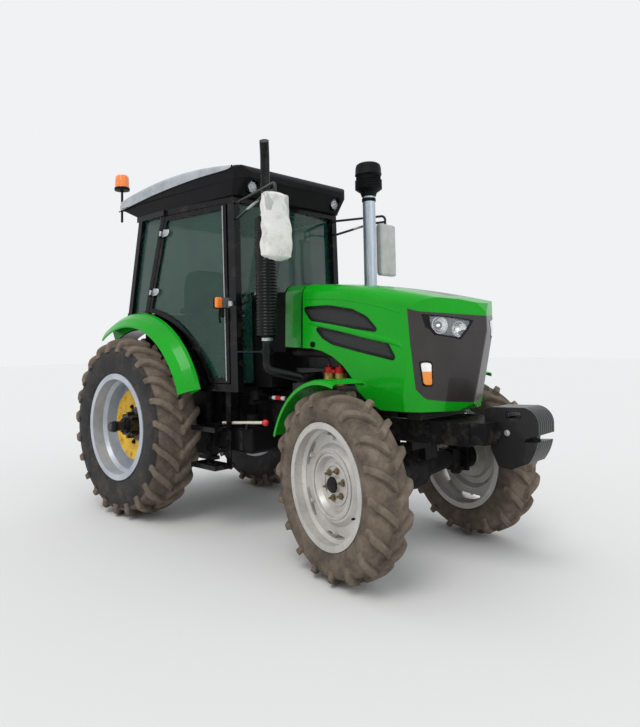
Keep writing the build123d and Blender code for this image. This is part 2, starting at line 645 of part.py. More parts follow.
def front_frame():
    """Two rails beside the engine, cross plates at the nose and the axle's pivot saddle."""
    rails = []
    for side in (1, -1):
        y = sorted((side * ENGINE_HALF, side * (ENGINE_HALF + RAIL_WALL)))
        rails.append(side_plate([(1236, 715), (1236, 790), (1330, RAIL_Z[1]), (RAIL_END, RAIL_Z[1]), (RAIL_END, 700), (2200, RAIL_Z[0]), (1330, RAIL_Z[0])], y))
    h = ENGINE_HALF
    nose = box((2150, RAIL_END), (-h, h), (RAIL_Z[1] - 16, RAIL_Z[1]))
    front = box((RAIL_END - 24, RAIL_END), (-h, h), (700, RAIL_Z[1] - 16))
    saddles = [box((AXLE_X + dx, AXLE_X + dx + 40), (-h, h), (FRONT_RADIUS + 140, RAIL_Z[0] + 20)) for dx in (-150, 110)]
    pivots = [box((AXLE_X + dx, AXLE_X + dx + 40), (-60, 60), (FRONT_RADIUS + 70, FRONT_RADIUS + 140)) for dx in (-150, 110)]
    pin = Pos(AXLE_X, 0, FRONT_RADIUS + 97) * Rot(0, 90, 0) * Cylinder(25, 300)
    return joined(*rails, nose, front, *saddles, *pivots, pin)


def radiator():
    """Core with top and bottom tanks and its fan shroud, standing on the nose plate."""
    core = box((2190, 2260), (-230, 230), (RAIL_Z[1] + 30, 1300))
    tanks = [box((2180, 2270), (-235, 235), (RAIL_Z[1], RAIL_Z[1] + 30)), box((2180, 2270), (-235, 235), (1300, 1350))]
    shroud = Pos(2150, 0, 1040) * Rot(0, 90, 0) * (Cylinder(205, 90) - Cylinder(197, 90))
    return joined(core, *tanks, shroud)


WEIGHT_X = (2572.0, 2862.0)
WEIGHT_HALF = 92.0
WEIGHT_Z = (587.0, 904.0)
WEIGHT_COUNT = 8
WEIGHT_GAP = 4.0             # groove between two plates


def weight_carrier():
    """Cast bracket on the frame's nose that the suitcase weights hook on, with its tow pin."""
    end = WEIGHT_X[0] + 66
    bar = box((RAIL_END, WEIGHT_X[0] + 66), (-205, 205), (713, 823))
    hook = side_plate([(end, 735), (end, 800), (end + 26, 800), (end + 26, 760), (end + 12, 735)], (-WEIGHT_HALF - 12, WEIGHT_HALF + 12))
    return joined(bar, hook)


def front_weights():
    """Stack of suitcase weights: rounded plates with a hook notch, a handle slot and a tow notch."""
    x0, x1 = WEIGHT_X
    z0, z1 = WEIGHT_Z
    end = x0 + 66
    back = [
        (x1 - 60, z0 + 42), (x1 - 154, z0), (x0 + 70, z0 + 8), (x0 + 30, 680), (x0 + 30, 713), (end, 713),
        (end + 12, 735), (end + 26, 760), (end + 26, 800), (end, 800), (end, 823), (x0, 823), (x0, z1 - 22), (x0 + 40, z1 - 6), (x1 - 98, z1),
    ]
    brow = ThreePointArc((x1 - 98, 0, z1), (x1 - 24, 0, z1 - 26), (x1 - 2, 0, z1 - 88))
    mouth = Polyline(*[(px, 0, pz) for px, pz in [(x1 - 2, z1 - 88), (x1 - 3, z1 - 130), (x1 - 75, z1 - 157), (x1 - 78, z1 - 173), (x1 - 10, z1 - 167)]])
    chin = ThreePointArc((x1 - 10, 0, z1 - 167), (x1 - 26, 0, z0 + 98), (x1 - 60, 0, z0 + 42))
    face = make_face(Curve() + [Polyline(*[(px, 0, pz) for px, pz in back]), brow, mouth, chin])
    handle = side_plate([(x1 - 174, z1 - 57), (x1 - 174, z1 - 27), (x1 - 98, z1 - 24), (x1 - 84, z1 - 57)], (-200, 200), corner=8)
    thick = 2 * WEIGHT_HALF / WEIGHT_COUNT
    plates = []
    for k in range(WEIGHT_COUNT):
        plate = extrude(face, amount=thick - WEIGHT_GAP, dir=(0, 1, 0)) - Pos(0, WEIGHT_HALF, 0) * handle
        plates.append(Pos(0, -WEIGHT_HALF + k * thick, 0) * plate)
    spacer = side_plate([(end + 60, 640), (end + 60, 700), (end + 120, 700), (end + 120, 640)], (-WEIGHT_HALF, WEIGHT_HALF - WEIGHT_GAP))
    return joined(*plates, spacer)


# ---------------------------------------------------------------- tank, steps, exhaust and air intake
TANK_X = (715.0, 1130.0)
TANK_Y = (225.0, 470.0)
TANK_Z = (528.0, 702.0)


def fuel_tank():
    """Moulded tank on the right with its filler pipe, on two straps from the gearbox."""
    y0, y1 = TANK_Y
    body = fillet(box(TANK_X, TANK_Y, TANK_Z).edges(), 28)
    for x in (TANK_X[0] + 60, TANK_X[1] - 90):
        body = joined(body, box((x, x + 40), (HOUSING_HALF - 30, y0 + 40), (600, 640)))
    neck = Pos(TANK_X[1] - 50, y1 - 60, TANK_Z[1] + 20) * Cylinder(32, 60)
    return right_of(joined(body, neck))


def battery_box():
    """Battery in its tray on the left."""
    y0, y1 = TANK_Y
    case = box((830, 1110), (y0 + 15, y1 - 20), (560, 745))
    lid = box((822, 1118), (y0 + 8, y1 - 12), (745, 775))
    tray = box((815, 1125), (HOUSING_HALF - 30, y1), (545, 560))
    return joined(case, lid, tray)


STEP_X = (700.0, 965.0)
STEP_Y = (CAB_HALF - 120.0, CAB_HALF + 20.0)
STEP_LEVELS = (427.0, 672.0)


def steps():
    """A ladder of two treads under each door, hung from the cab's sill."""
    wall = 8
    hangers = [
        side_plate([(x, STEP_LEVELS[0] - 6), (x + 46, STEP_LEVELS[0] - 6), (x + 46, CAB_FLOOR_Z), (x, CAB_FLOOR_Z)], (STEP_Y[0], STEP_Y[0] + wall))
        for x in (STEP_X[0], STEP_X[1] - 46)
    ]
    treads = []
    for z in STEP_LEVELS:
        pan = box(STEP_X, STEP_Y, (z, z + 30)) - box((STEP_X[0] + wall, STEP_X[1] - wall), (STEP_Y[0] + wall, STEP_Y[1] - wall), (z + wall, z + 40))
        for k in range(5):
            slot = box((STEP_X[0] + 24 + 46 * k, STEP_X[0] + 48 + 46 * k), (STEP_Y[0] + 26, STEP_Y[1] - 26), (z - 2, z + 20))
            pan = pan - slot
        treads.append(pan)
    return both_sides(joined(*hangers, *treads))


MUFFLER_X = 1327.0
MUFFLER_Y = 15.0 - FRONT_HALF
MUFFLER_Z = (1283.0, 2050.0)
MUFFLER_RADIUS = 70.0
TAIL_RADIUS = 30.0
MUFFLER_BEADS = 9


def muffler():
    """Silencer in its ribbed heat shield: a sleeve with rolled beads and domed ends."""
    z0, z1 = MUFFLER_Z
    r = MUFFLER_RADIUS
    profile = [(TAIL_RADIUS, z0), (r - 16, z0), (r - 6, z0 + 8), (r - 6, z0 + 16)]
    step = (z1 - z0 - 60) / MUFFLER_BEADS
    for k in range(MUFFLER_BEADS):
        z = z0 + 24 + step * k
        profile += [(r, z + 4), (r, z + step - 14), (r - 4, z + step - 8)]
    profile += [(r - 6, z1 - 14), (r - 22, z1), (TAIL_RADIUS, z1)]
    face = make_face(Polyline(*[(px, 0, pz) for px, pz in profile], close=True))
    return Pos(MUFFLER_X, MUFFLER_Y, 0) * revolve(face, axis=Axis.Z)


def exhaust_pipe():
    """Pipe from the engine up through the silencer to the slanted tail, with its bracket to the cab post."""
    x, y = MUFFLER_X, MUFFLER_Y
    low = tube([(ENGINE_X[0] + 230, -ENGINE_HALF + 22, 1030), (ENGINE_X[0] + 230, -330, 1030), (x, y, 1080), (x, y, MUFFLER_Z[1] + 60)], TAIL_RADIUS, 45)
    top = tube([(x, y, MUFFLER_Z[1] + 60), (x, y, 2440), (x + 46, y - 46, 2520)], TAIL_RADIUS, 60)
    bracket = box((POST_FOOT_X + POST_HALF, x - TAIL_RADIUS + 6), (y - 20, y + 20), (1190, 1200))
    clamp = Pos(x, y, 1195) * (Cylinder(TAIL_RADIUS + 8, 30) - Cylinder(TAIL_RADIUS - 2, 30))
    return joined(low, top, clamp, bracket)


INTAKE_X = 1426.0
INTAKE_Y = 425.0
INTAKE_RADIUS = 46.0
CLEANER_RADIUS = 98.0
CLEANER_Z = (2300.0, 2550.0)


def intake_pipe():
    """Air intake pipe on the left: out of the cowl's side, then straight up beside the windscreen."""
    pipe = tube([(INTAKE_X, HOOD_HALF - 40, 1420), (INTAKE_X, INTAKE_Y, 1420), (INTAKE_X, INTAKE_Y, CLEANER_Z[0])], INTAKE_RADIUS, 52)
    return pipe - hood_section(0, COWL_X[0], COWL_X[1])


def pre_cleaner():
    """Cyclone bowl on top of the intake pipe: skirt with vanes, waist and cap."""
    z0, z1 = CLEANER_Z
    r = CLEANER_RADIUS
    profile = [(0, z0), (52, z0), (62, z0 + 30), (r, z0 + 55), (r, z0 + 120), (r - 14, z0 + 132), (r - 14, z0 + 150), (r - 2, z0 + 160), (r - 6, z1 - 40), (r - 40, z1 - 8), (0, z1)]
    face = make_face(Polyline(*[(px, 0, pz) for px, pz in profile], close=True))
    return Pos(INTAKE_X, INTAKE_Y, 0) * revolve(face, axis=Axis.Z)


# ---------------------------------------------------------------- cab
POST_FOOT_X = 1020.0
POST_TOP_X = 990.0
POST_HALF = 36.0
POST_DEPTH = 50.0
RING_Z = (2200.0, 2240.0)    # frame under the roof
HINGE_FOOT = (134.0, ARCH_TOP)  # door's rear corner on the fender, (x, z)
HINGE_TOP_X = 325.0
CORNER_FOOT = (-147.0, ARCH_TOP - 8)
POST_FOOT_Z = ARCH_TOP - 12  # rear posts stand this low on the fender
CORNER_TOP_X = 12.0
DOOR_WALL = 34.0
DOOR_BAR = 34.0
SILL_Z = 980.0
LINER_RADIUS = (REAR_RADIUS + ARCH_RADIUS) / 2 - 27
LINER_Y = 455.0
SHEET = 8.0
PANEL_X = -160.0             # rear wall of the cab
PANEL_TOP = ARCH_TOP + 6

DOOR_YAW = degrees(atan2(CAB_HALF - FRONT_HALF, POST_FOOT_X - HINGE_FOOT[0]))
HINGE_AXIS_X = 132.0         # hinge axis at the foot's height
HINGE_OUT = 12.0             # hinge axis outside the door's outer plane
HINGE_RADIUS = 9.0
HINGE_PIN_RADIUS = 5.0
HINGE_BARREL = 36.0
HINGE_LUG = 14.0
HINGE_TRIM = 3.0             # leaves stop short of the tilted ends of the barrel and lugs
HINGE_Z = (1640.0, 2070.0)
HINGE_RUN = ((HINGE_TOP_X - HINGE_FOOT[0]) / cos(radians(DOOR_YAW)), 0.0, RING_Z[0] - HINGE_FOOT[1])


def on_door_plane(shape):
    """Lay a piece drawn behind y = 0 onto the left door's outer plane; x runs from the hinge forwards."""
    return Pos(HINGE_FOOT[0], CAB_HALF, 0) * Rot(0, 0, -DOOR_YAW) * shape


def door_x(x):
    """Distance along the door plane for a place x in the machine."""
    return (x - HINGE_FOOT[0]) / cos(radians(DOOR_YAW))


def post_x(z):
    """Middle of the front post at a height."""
    share = (z - CAB_FLOOR_Z) / (RING_Z[1] - CAB_FLOOR_Z)
    return POST_FOOT_X + (POST_TOP_X - POST_FOOT_X) * share


def hinge_point(z, along_axis=0.0):
    """Point on the left door's hinge axis, drawn on the door plane, at a height and a step along the axis."""
    rise = Vector(*HINGE_RUN).normalized() * along_axis
    start = Vector(door_x(HINGE_AXIS_X + (HINGE_TOP_X - HINGE_FOOT[0]) * (z - HINGE_FOOT[1]) / (RING_Z[0] - HINGE_FOOT[1])), HINGE_OUT, z)
    return start + rise


def hinge_bar(z, low, high, radius):
    """Round piece on the hinge axis, between two distances from a height."""
    return rod(hinge_point(z, low), hinge_point(z, high), radius)


def hinge_leaf(z, low, high, reach):
    """Flat leaf from the hinge axis along the door plane; reach is its far end, forwards positive."""
    a, b = hinge_point(z, low + HINGE_TRIM), hinge_point(z, high - HINGE_TRIM)
    return side_plate([(a.X, a.Z), (a.X + reach, a.Z), (b.X + reach, b.Z), (b.X, b.Z)], (-4, HINGE_OUT - HINGE_RADIUS + 3))


def hinge_pin(z):
    """Post's half of a hinge: a pin between two lugs on a leaf."""
    half = HINGE_BARREL / 2 + SEAT_GAP
    pieces = [hinge_bar(z, -half - HINGE_LUG, half + HINGE_LUG, HINGE_PIN_RADIUS)]
    for low, high in ((-half - HINGE_LUG, -half), (half, half + HINGE_LUG)):
        pieces += [hinge_bar(z, low, high, HINGE_RADIUS), hinge_leaf(z, low, high, -36)]
    return on_door_plane(joined(*pieces))


def hinge_barrel(z):
    """Door's half of a hinge, drawn on the door plane: a barrel with a strap over the door's bar."""
    half = HINGE_BARREL / 2
    strap = hinge_leaf(z, -half, half, 70) & box((-100, 1200), (0, 50), (900, 2300))
    bore = hinge_bar(z, -half - 5, half + 5, HINGE_PIN_RADIUS + RUN)
    return joined(hinge_bar(z, -half, half, HINGE_RADIUS), strap) - bore


def cab_frame():
    """Welded frame: front, door and corner posts, the ring under the roof and the door sills."""
    z0, z1 = CAB_FLOOR_Z, RING_Z[1]
    front_post = side_plate(
        [(POST_FOOT_X - POST_HALF, z0), (POST_FOOT_X + POST_HALF, z0), (POST_TOP_X + POST_HALF, z1), (POST_TOP_X - POST_HALF, z1)],
        (FRONT_HALF - POST_DEPTH, FRONT_HALF),
    )
    lean = (HINGE_TOP_X - HINGE_FOOT[0]) / (RING_Z[0] - HINGE_FOOT[1])
    door_post = on_door_plane(side_plate(
        [(door_x(84), POST_FOOT_Z), (door_x(126), POST_FOOT_Z), (door_x(126 + lean * (z1 - POST_FOOT_Z)), z1), (door_x(84 + lean * (z1 - POST_FOOT_Z)), z1)],
        (-DOOR_WALL - 4, -4),
    ))
    rake = (CORNER_TOP_X - CORNER_FOOT[0]) / (RING_Z[0] - CORNER_FOOT[1])
    corner_post = side_plate(
        [(CORNER_FOOT[0] - 25, POST_FOOT_Z), (CORNER_FOOT[0] + 25, POST_FOOT_Z), (CORNER_FOOT[0] + 25 + rake * (z1 - POST_FOOT_Z), z1), (CORNER_FOOT[0] - 25 + rake * (z1 - POST_FOOT_Z), z1)],
        (CAB_HALF - 45, CAB_HALF - 4),
    )
    door_rail = on_door_plane(box((door_x(HINGE_TOP_X - 20), door_x(POST_TOP_X + POST_HALF) - 4), (-44, 0), RING_Z))
    side_rail = box((-40, HINGE_TOP_X + 10), (CAB_HALF - 44, CAB_HALF - 4), RING_Z)
    sill = on_door_plane(box((door_x(800), door_x(POST_FOOT_X)), (-44, 0), (z0, SILL_Z)))
    half = joined(front_post, door_post, corner_post, door_rail, side_rail, sill, *[hinge_pin(z) for z in HINGE_Z])
    header = box((POST_TOP_X - POST_HALF, POST_TOP_X + POST_HALF), (-FRONT_HALF, FRONT_HALF), RING_Z)
    rear_header = box((-40, 38), (-CAB_HALF + 4, CAB_HALF - 4), RING_Z)
    return joined(half, right_of(half), header, rear_header)


def wheel_arch(radius, x):
    """Height of a circle about the rear axle at a given x."""
    return REAR_RADIUS + sqrt(radius**2 - x**2)


def cab_floor():
    """Pressed floor with both wheel arches, the seat pedestal and the rear wall."""
    z0 = CAB_FLOOR_Z
    top = z0 + 25
    floor = flat_plate(
        [(PANEL_X, -LINER_Y), (PANEL_X, LINER_Y), (790, LINER_Y), (790, 535), (970, 512), (970, FRONT_HALF - POST_DEPTH), (1056, FRONT_HALF - POST_DEPTH),
         (1056, -FRONT_HALF + POST_DEPTH), (970, -FRONT_HALF + POST_DEPTH), (970, -512), (790, -535), (790, -LINER_Y)],
        (z0, top),
    )
    arch = Pos(0, 0, REAR_RADIUS) * wheel_turned(
        [(LINER_RADIUS - SHEET, LINER_Y), (LINER_RADIUS, LINER_Y), (LINER_RADIUS, CAB_HALF - 4), (LINER_RADIUS - SHEET, CAB_HALF - 4)],
        arc=LINER_SPAN[1] - LINER_SPAN[0], start=LINER_SPAN[1],
    )
    cheek = Pos(0, LINER_Y + SHEET / 2, REAR_RADIUS) * Rot(90, 0, 0) * Cylinder(LINER_RADIUS, SHEET)
    cheek = cheek & box((PANEL_X, 900), (0, 900), (top - 10, 2000))
    half = joined(arch, cheek)
    arch_top = wheel_arch(LINER_RADIUS, PANEL_X)
    wall = front_plate(
        [(-LINER_Y, z0), (LINER_Y, z0), (LINER_Y, arch_top - 4), (CAB_HALF - 4, arch_top - 4), (CAB_HALF - 4, PANEL_TOP),
         (-CAB_HALF + 4, PANEL_TOP), (-CAB_HALF + 4, arch_top - 4), (-LINER_Y, arch_top - 4)],
        (PANEL_X - 12 - SHEET, PANEL_X - 12),
    )
    link = box((PANEL_X - 14, PANEL_X + 2), (-LINER_Y, LINER_Y), (z0, top))
    pedestal = box((90, 460), (-170, 170), (top, SEAT_Z))
    hook_x, hook_z = TOP_PIN[0] + TOP_LINK[0], TOP_PIN[1] + TOP_LINK[1]
    wall_x = PANEL_X - 12 - SHEET
    holder = [
        side_plate([(wall_x, hook_z - 60), (wall_x, hook_z + 25), (hook_x - 20, hook_z + 20), (hook_x - 20, hook_z - 20)], sorted((side * 26, side * 32)))
        for side in (1, -1)
    ]
    holder.append(Pos(hook_x, 0, hook_z) * Rot(90, 0, 0) * Cylinder(TOP_PIN_RADIUS, 64))
    return joined(floor, half, right_of(half), wall, link, pedestal, *holder)


LINER_SPAN = (24.0, 148.0)
FENDER_ARC = (20.5, 120.0)
FENDER_OUT = CAB_HALF + 115.0
FENDER_EDGE_RADIUS = LINER_RADIUS + 25
FENDER_SHEET = 6.0


def rear_fender():
    """Left rear fender: a crown that falls outwards, a rolled lip and the flange the door closes against."""
    y0 = CAB_HALF - 4
    t = FENDER_SHEET
    r0, r1 = ARCH_RADIUS, FENDER_EDGE_RADIUS
    section = [
        (LINER_RADIUS, y0), (r0 - 4, y0), (r0, y0 + 8), (r0 - 8, y0 + 30), (r0 - 46, y0 + 84), (r1, FENDER_OUT), (r1 - 14, FENDER_OUT),
        (r1 - 14, FENDER_OUT - t), (r1 - 3, FENDER_OUT - t), (r0 - 51, y0 + 80), (r0 - 14, y0 + 28), (r0 - 8, y0 + t), (LINER_RADIUS, y0 + t),
    ]
    return Pos(0, 0, REAR_RADIUS) * wheel_turned(section, arc=FENDER_ARC[1] - FENDER_ARC[0], start=FENDER_ARC[1])


def cab_glass():
    """Windscreen with its legs beside the hood, quarter lights and the rear window."""
    t = 6.0
    z0, z1 = SILL_Z + 5, RING_Z[0]
    lean = (POST_TOP_X - POST_FOOT_X) / (RING_Z[1] - CAB_FLOOR_Z)
    half = FRONT_HALF - POST_DEPTH
    edge = POST_FOOT_X - 12
    bow = 34.0
    arc_in = ThreePointArc((edge, -half, z0), (edge + bow, 0, z0), (edge, half, z0))
    arc_out = ThreePointArc((edge + t, half, z0), (edge + t + bow, 0, z0), (edge + t, -half, z0))
    ends = Line((edge, half, z0), (edge + t, half, z0)) + Line((edge + t, -half, z0), (edge, -half, z0))
    screen = extrude(make_face(Curve() + [arc_in, arc_out] + ends), amount=z1 - z0, dir=(lean, 0, 1))
    screen = screen & box((0, 2000), (-half, half), (z0, z1))
    screen = screen - box((900, 1200), (-HOOD_HALF - 6, HOOD_HALF + 6), (z0 - 5, CONSOLE_TOP + 12))
    foot, top = ARCH_TOP + 2, RING_Z[0]
    rake = (CORNER_TOP_X - CORNER_FOOT[0]) / (RING_Z[0] - CORNER_FOOT[1])
    door_lean = (HINGE_TOP_X - HINGE_FOOT[0]) / (RING_Z[0] - HINGE_FOOT[1])
    quarter = side_plate(
        [
            (CORNER_FOOT[0] + 25 + rake * (foot - POST_FOOT_Z), foot), (84 + door_lean * (foot - POST_FOOT_Z), foot),
            (84 + door_lean * (top - POST_FOOT_Z), top), (CORNER_FOOT[0] + 25 + rake * (top - POST_FOOT_Z), top),
        ],
        (CAB_HALF - 38, CAB_HALF - 38 + t),
    )
    x_low = CORNER_FOOT[0] + rake * (PANEL_TOP - POST_FOOT_Z)
    x_top = CORNER_FOOT[0] + rake * (top - POST_FOOT_Z)
    rear = side_plate([(x_low - 4, PANEL_TOP), (x_low + 2, PANEL_TOP), (x_top + 2, top), (x_top - 4, top)], (-CAB_HALF + 45, CAB_HALF - 45))
    return [screen, quarter, right_of(quarter), rear]


ROOF_REAR = -305.0
ROOF_FRONT = 1148.0
ROOF_HALF = CAB_HALF + 20.0
ROOF_NOSE_HALF = FRONT_HALF - 18.0  # half width between the front corners
ROOF_Z = (RING_Z[1], 2345.0)  # foot of the skirt, and where it meets the upright edge
ROOF_TOP = ((ROOF_REAR, 2400.0), (370.0, 2492.0), (1092.0, 2438.0))  # the cover's crown, (x, z)
ROOF_SEAM = [(ROOF_REAR - 50, 2320), (-170, 2333), (224, 2382), (645, 2411), (985, 2417), (1090, 2470)]
LAMP_RADIUS = 44.0
LAMP_Y = 412.0
LAMP_Z = 2298.0


def roof_plan(rear, side, brow, front, nose, z, corner):
    """Level outline of the roof: tapered sides, and front corners cut across from the brow."""
    half = [(rear, side), (brow, FRONT_HALF + 16), (front, nose)]
    outline = [(x, y, z) for x, y in half + [(x, -y) for x, y in half[::-1]]]
    return make_face(FilletPolyline(*outline, radius=corner, close=True) if corner else Polyline(*outline, close=True))


def roof_form():
    """Outer form of the whole roof: a tapered skirt under a crowned, rounded cover."""
    z0, z1 = ROOF_Z
    low = roof_plan(-45, CAB_HALF, 1030, 1060, ROOF_NOSE_HALF - 4, z0, 28)
    high = roof_plan(ROOF_REAR + 14, ROOF_HALF - 8, 1040, ROOF_FRONT - 8, ROOF_NOSE_HALF, z1, 28)
    sharp, soft = (
        extrude(roof_plan(ROOF_REAR, ROOF_HALF, 1048, ROOF_FRONT, ROOF_NOSE_HALF + 4, z1, corner), amount=200, dir=(0, 0, 1))
        for corner in (0, 60)
    )
    crown = [(x, 0, z) for x, z in ROOF_TOP]
    end = ROOF_FRONT + 4
    brow = ThreePointArc(crown[-1], (end - 20, 0, 2412), (end, 0, 2366))
    rest = Polyline((end, 0, 2366), (end, 0, z1), (ROOF_REAR, 0, z1), crown[0])
    side_view = extrude(make_face(ThreePointArc(*crown) + brow + rest), amount=1400, dir=(0, 1, 0))
    slab = sharp & Pos(0, -700, 0) * side_view
    rounded = [
        edge for edge in slab.edges() if edge.center().Z > z1 + 40 and edge.length > 300
        and (abs(edge.center().Y) > 400 or edge.center().X < ROOF_REAR + 10)
    ]
    return joined(loft([low, high]), fillet(rounded, 34) & soft)


def roof_parts():
    """Roof liner with its lamp seats, and the cover above the seam."""
    whole = roof_form()
    above = side_plate([*ROOF_SEAM, (ROOF_SEAM[-1][0], 2600), (ROOF_SEAM[0][0], 2600)], (-900, 900))
    cover = whole & above
    liner = whole - above
    liner = liner - box((30, 930), (-440, 440), (ROOF_Z[0] - 1, ROOF_Z[0] + 40))
    for side in (1, -1):
        liner = liner - Pos(1100, side * LAMP_Y, LAMP_Z) * Rot(0, 90, 0) * Cylinder(LAMP_RADIUS, 90)
    return liner, cover


def roof_lamps():
    """Round work lamps in the roof's front corners."""
    lamp = Pos(1055 + 38, LAMP_Y, LAMP_Z) * Rot(0, 90, 0) * Cylinder(LAMP_RADIUS, 76)
    return both_sides(lamp)


BEACON_X = -345.0
BEACON_Y = -575.0


def beacon():
    """Rotating beacon on a pole clamped to the roof's rear corner."""
    pole = Pos(BEACON_X, BEACON_Y, (2255 + 2520) / 2) * Cylinder(11, 2520 - 2255)
    across, up = (BEACON_Y + 60, BEACON_Y + 76), (ROOF_Z[1] + 2, ROOF_Z[1] + 26)
    arm = joined(box((BEACON_X, ROOF_REAR), across, up), box((BEACON_X - 6, BEACON_X + 6), (BEACON_Y, across[1]), up))
    base = Pos(BEACON_X, BEACON_Y, 2530) * Cylinder(62, 24)
    lens = Pos(BEACON_X, BEACON_Y, 2595) * Cylinder(57, 106)
    lens = fillet(lens.edges().sort_by(Axis.Z)[-1], 24)
    return joined(pole, arm, base, lens)


# ---------------------------------------------------------------- inside the cab
CONSOLE_TOP = 1585.0
COLUMN_TILT = 32.0           # steering column from upright, in degrees
STEERING_CENTRE = (668.0, 1585.0)  # (x, z)
STEERING_RADIUS = 190.0
COLUMN_RADIUS = 22.0


SEAT_Z = 1270.0


def seat():
    """Driver's seat: cushion, backrest and two arm rests."""
    cushion = fillet(box((60, 520), (-235, 235), (SEAT_Z, SEAT_Z + 125)).edges(), 34)
    back = fillet(side_plate([(15, 1330), (120, 1330), (75, 1860), (0, 1860)], (-225, 225)).edges(), 30)
    arms = [fillet(box((50, 340), sorted((side * 238, side * 290)), (1490, 1540)).edges(), 20) for side in (1, -1)]
    arms += [box((30, 80), sorted((side * 200, side * 262)), (1495, 1530)) for side in (1, -1)]
    return joined(cushion, back, *arms)


def console():
    """Instrument console: a bulkhead box through the windscreen's lower edge, the dash and the steering column."""
    half = HOOD_HALF - 12
    x1 = COWL_X[0]
    low = 1190
    body = front_plate([(-half, low), (half, low), (half, 1480), (half - 60, CONSOLE_TOP), (-half + 60, CONSOLE_TOP), (-half, 1480)], (1060, x1))
    flange = hood_section(0, x1 - 12, x1) & box((x1 - 12, x1), (-HOOD_HALF, HOOD_HALF), (low, HOOD_TOP + 50))
    body = joined(body, flange, box((1060, 1190), (-half, half), (SILL_Z - 22, low)))
    body = joined(body, box((900, 1062), (-half + 20, half - 20), (CAB_FLOOR_Z + 25, 1470)))
    dash = side_plate([(760, 1330), (905, 1240), (905, 1560), (850, 1565), (770, 1480)], (-190, 190))
    column = rod_along_column(-330, -30, COLUMN_RADIUS + 14)
    bore = rod_along_column(-200, 40, COLUMN_RADIUS - 8 + RUN)
    return joined(body, dash, column) - bore


def rod_along_column(low, high, radius):
    """Cylinder on the steering column's axis, between distances from the wheel's centre."""
    cx, cz = STEERING_CENTRE
    up = (-sin(radians(COLUMN_TILT)), cos(radians(COLUMN_TILT)))
    a = (cx + up[0] * low, 0, cz + up[1] * low)
    b = (cx + up[0] * high, 0, cz + up[1] * high)
    return rod(a, b, radius)


def steering_wheel():
    """Rim, three spokes and a hub on a shaft that turns in the column."""
    rim_ring = Torus(STEERING_RADIUS - 14, 14)
    hub = Pos(0, 0, -8) * Cylinder(42, 40)
    wheel = joined(rim_ring, hub)
    for k in range(3):
        wheel = wheel + Rot(0, 0, 120 * k) * box((30, STEERING_RADIUS - 16), (-12, 12), (-12, -2))
    cx, cz = STEERING_CENTRE
    wheel = Pos(cx, 0, cz) * Rot(0, -COLUMN_TILT, 0) * wheel
    return wheel + rod_along_column(-150, -10, COLUMN_RADIUS - 8)


# ---------------------------------------------------------------- hood and nose
HOOD_HALF = 350.0
COWL_X = (1330.0, 1474.0)
HOOD_X = 1486.0              # rear edge of the hood
HOOD_LEVEL_X = 1210.0        # where the long curve of the top is level
HOOD_TOP = 1636.0            # height of the top there
HOOD_CURVE = 5100.0          # radius of the top's curve along the machine
HOOD_BASE = 700.0            # the cross-section's lower edge, well under the panels
HOOD_SHOULDER = 78.0
HOOD_SHEET = 6.0
HOOD_PAST = 60.0             # how far the hollow runs on past the hood's open edges
HOOD_HINGE = (1518.0, 1590.0)  # hood hinge axis, (x, z)
HOOD_HINGE_Y = 180.0
HOOD_PIN_RADIUS = 6.0
NOSE_X = 2553.0
NOSE_BOTTOM = 868.0
SILL_LINE = [(1486, 1214), (1560, 1212), (1650, 1196), (1740, 1160), (1820, 1108), (1890, 1035), (1930, 965), (2000, 905), (2084, NOSE_BOTTOM), (2400, NOSE_BOTTOM)]


def hood_section(inset, x0, x1):
    """Bar of the hood's cross-section between two values of x, turned forwards along the top's curve."""
    half = HOOD_HALF - inset
    top = HOOD_TOP - inset
    waist, lean, tuck, crown = 1075, 16, 26, 19
    x = HOOD_LEVEL_X
    sides = Polyline(
        (x, half - lean, top - crown), (x, half, waist), (x, half - tuck, HOOD_BASE),
        (x, -half + tuck, HOOD_BASE), (x, -half, waist), (x, -half + lean, top - crown),
    )
    face = make_face(sides + ThreePointArc((x, -half + lean, top - crown), (x, 0, top), (x, half - lean, top - crown)))
    face = fillet(face.vertices().group_by(Axis.Z)[-1], HOOD_SHOULDER - inset)
    pivot = Axis((x, 0, HOOD_TOP - HOOD_CURVE), (0, 1, 0))
    low_radius = HOOD_CURVE - (HOOD_TOP - HOOD_BASE)
    start = degrees(asin((x0 - x) / HOOD_CURVE)) - 1
    end = degrees(asin((x1 - x) / low_radius)) + 1
    bar = revolve(face.rotate(pivot, start), axis=pivot, revolution_arc=end - start)
    return bar & box((x0, x1), (-HOOD_HALF, HOOD_HALF), (HOOD_BASE, HOOD_TOP))


def shrunk(outline, inset):
    """Closed outline with every side moved inwards; its corners run against the clock."""
    moved = []
    for k, (x, y) in enumerate(outline):
        before, after = outline[k - 1], outline[(k + 1) % len(outline)]
        run_in = Vector(x - before[0], y - before[1]).normalized()
        run_out = Vector(after[0] - x, after[1] - y).normalized()
        left = Vector(-run_in.Y - run_out.Y, run_in.X + run_out.X)
        shift = left * (inset / (1 + run_in.dot(run_out)))
        moved.append((x + shift.X, y + shift.Y))
    return moved


NOSE_HIGH = 1300.0           # the nose stands upright above this height and falls back below it
NOSE_LOW_PLAN = [(2230.0, 352.0), (2325.0, 298.0), (2395.0, 190.0), (NOSE_X - 98.0, 0.0)]
NOSE_HIGH_PLAN = [(2270.0, 352.0), (2390.0, 308.0), (2478.0, 205.0), (NOSE_X, 0.0)]


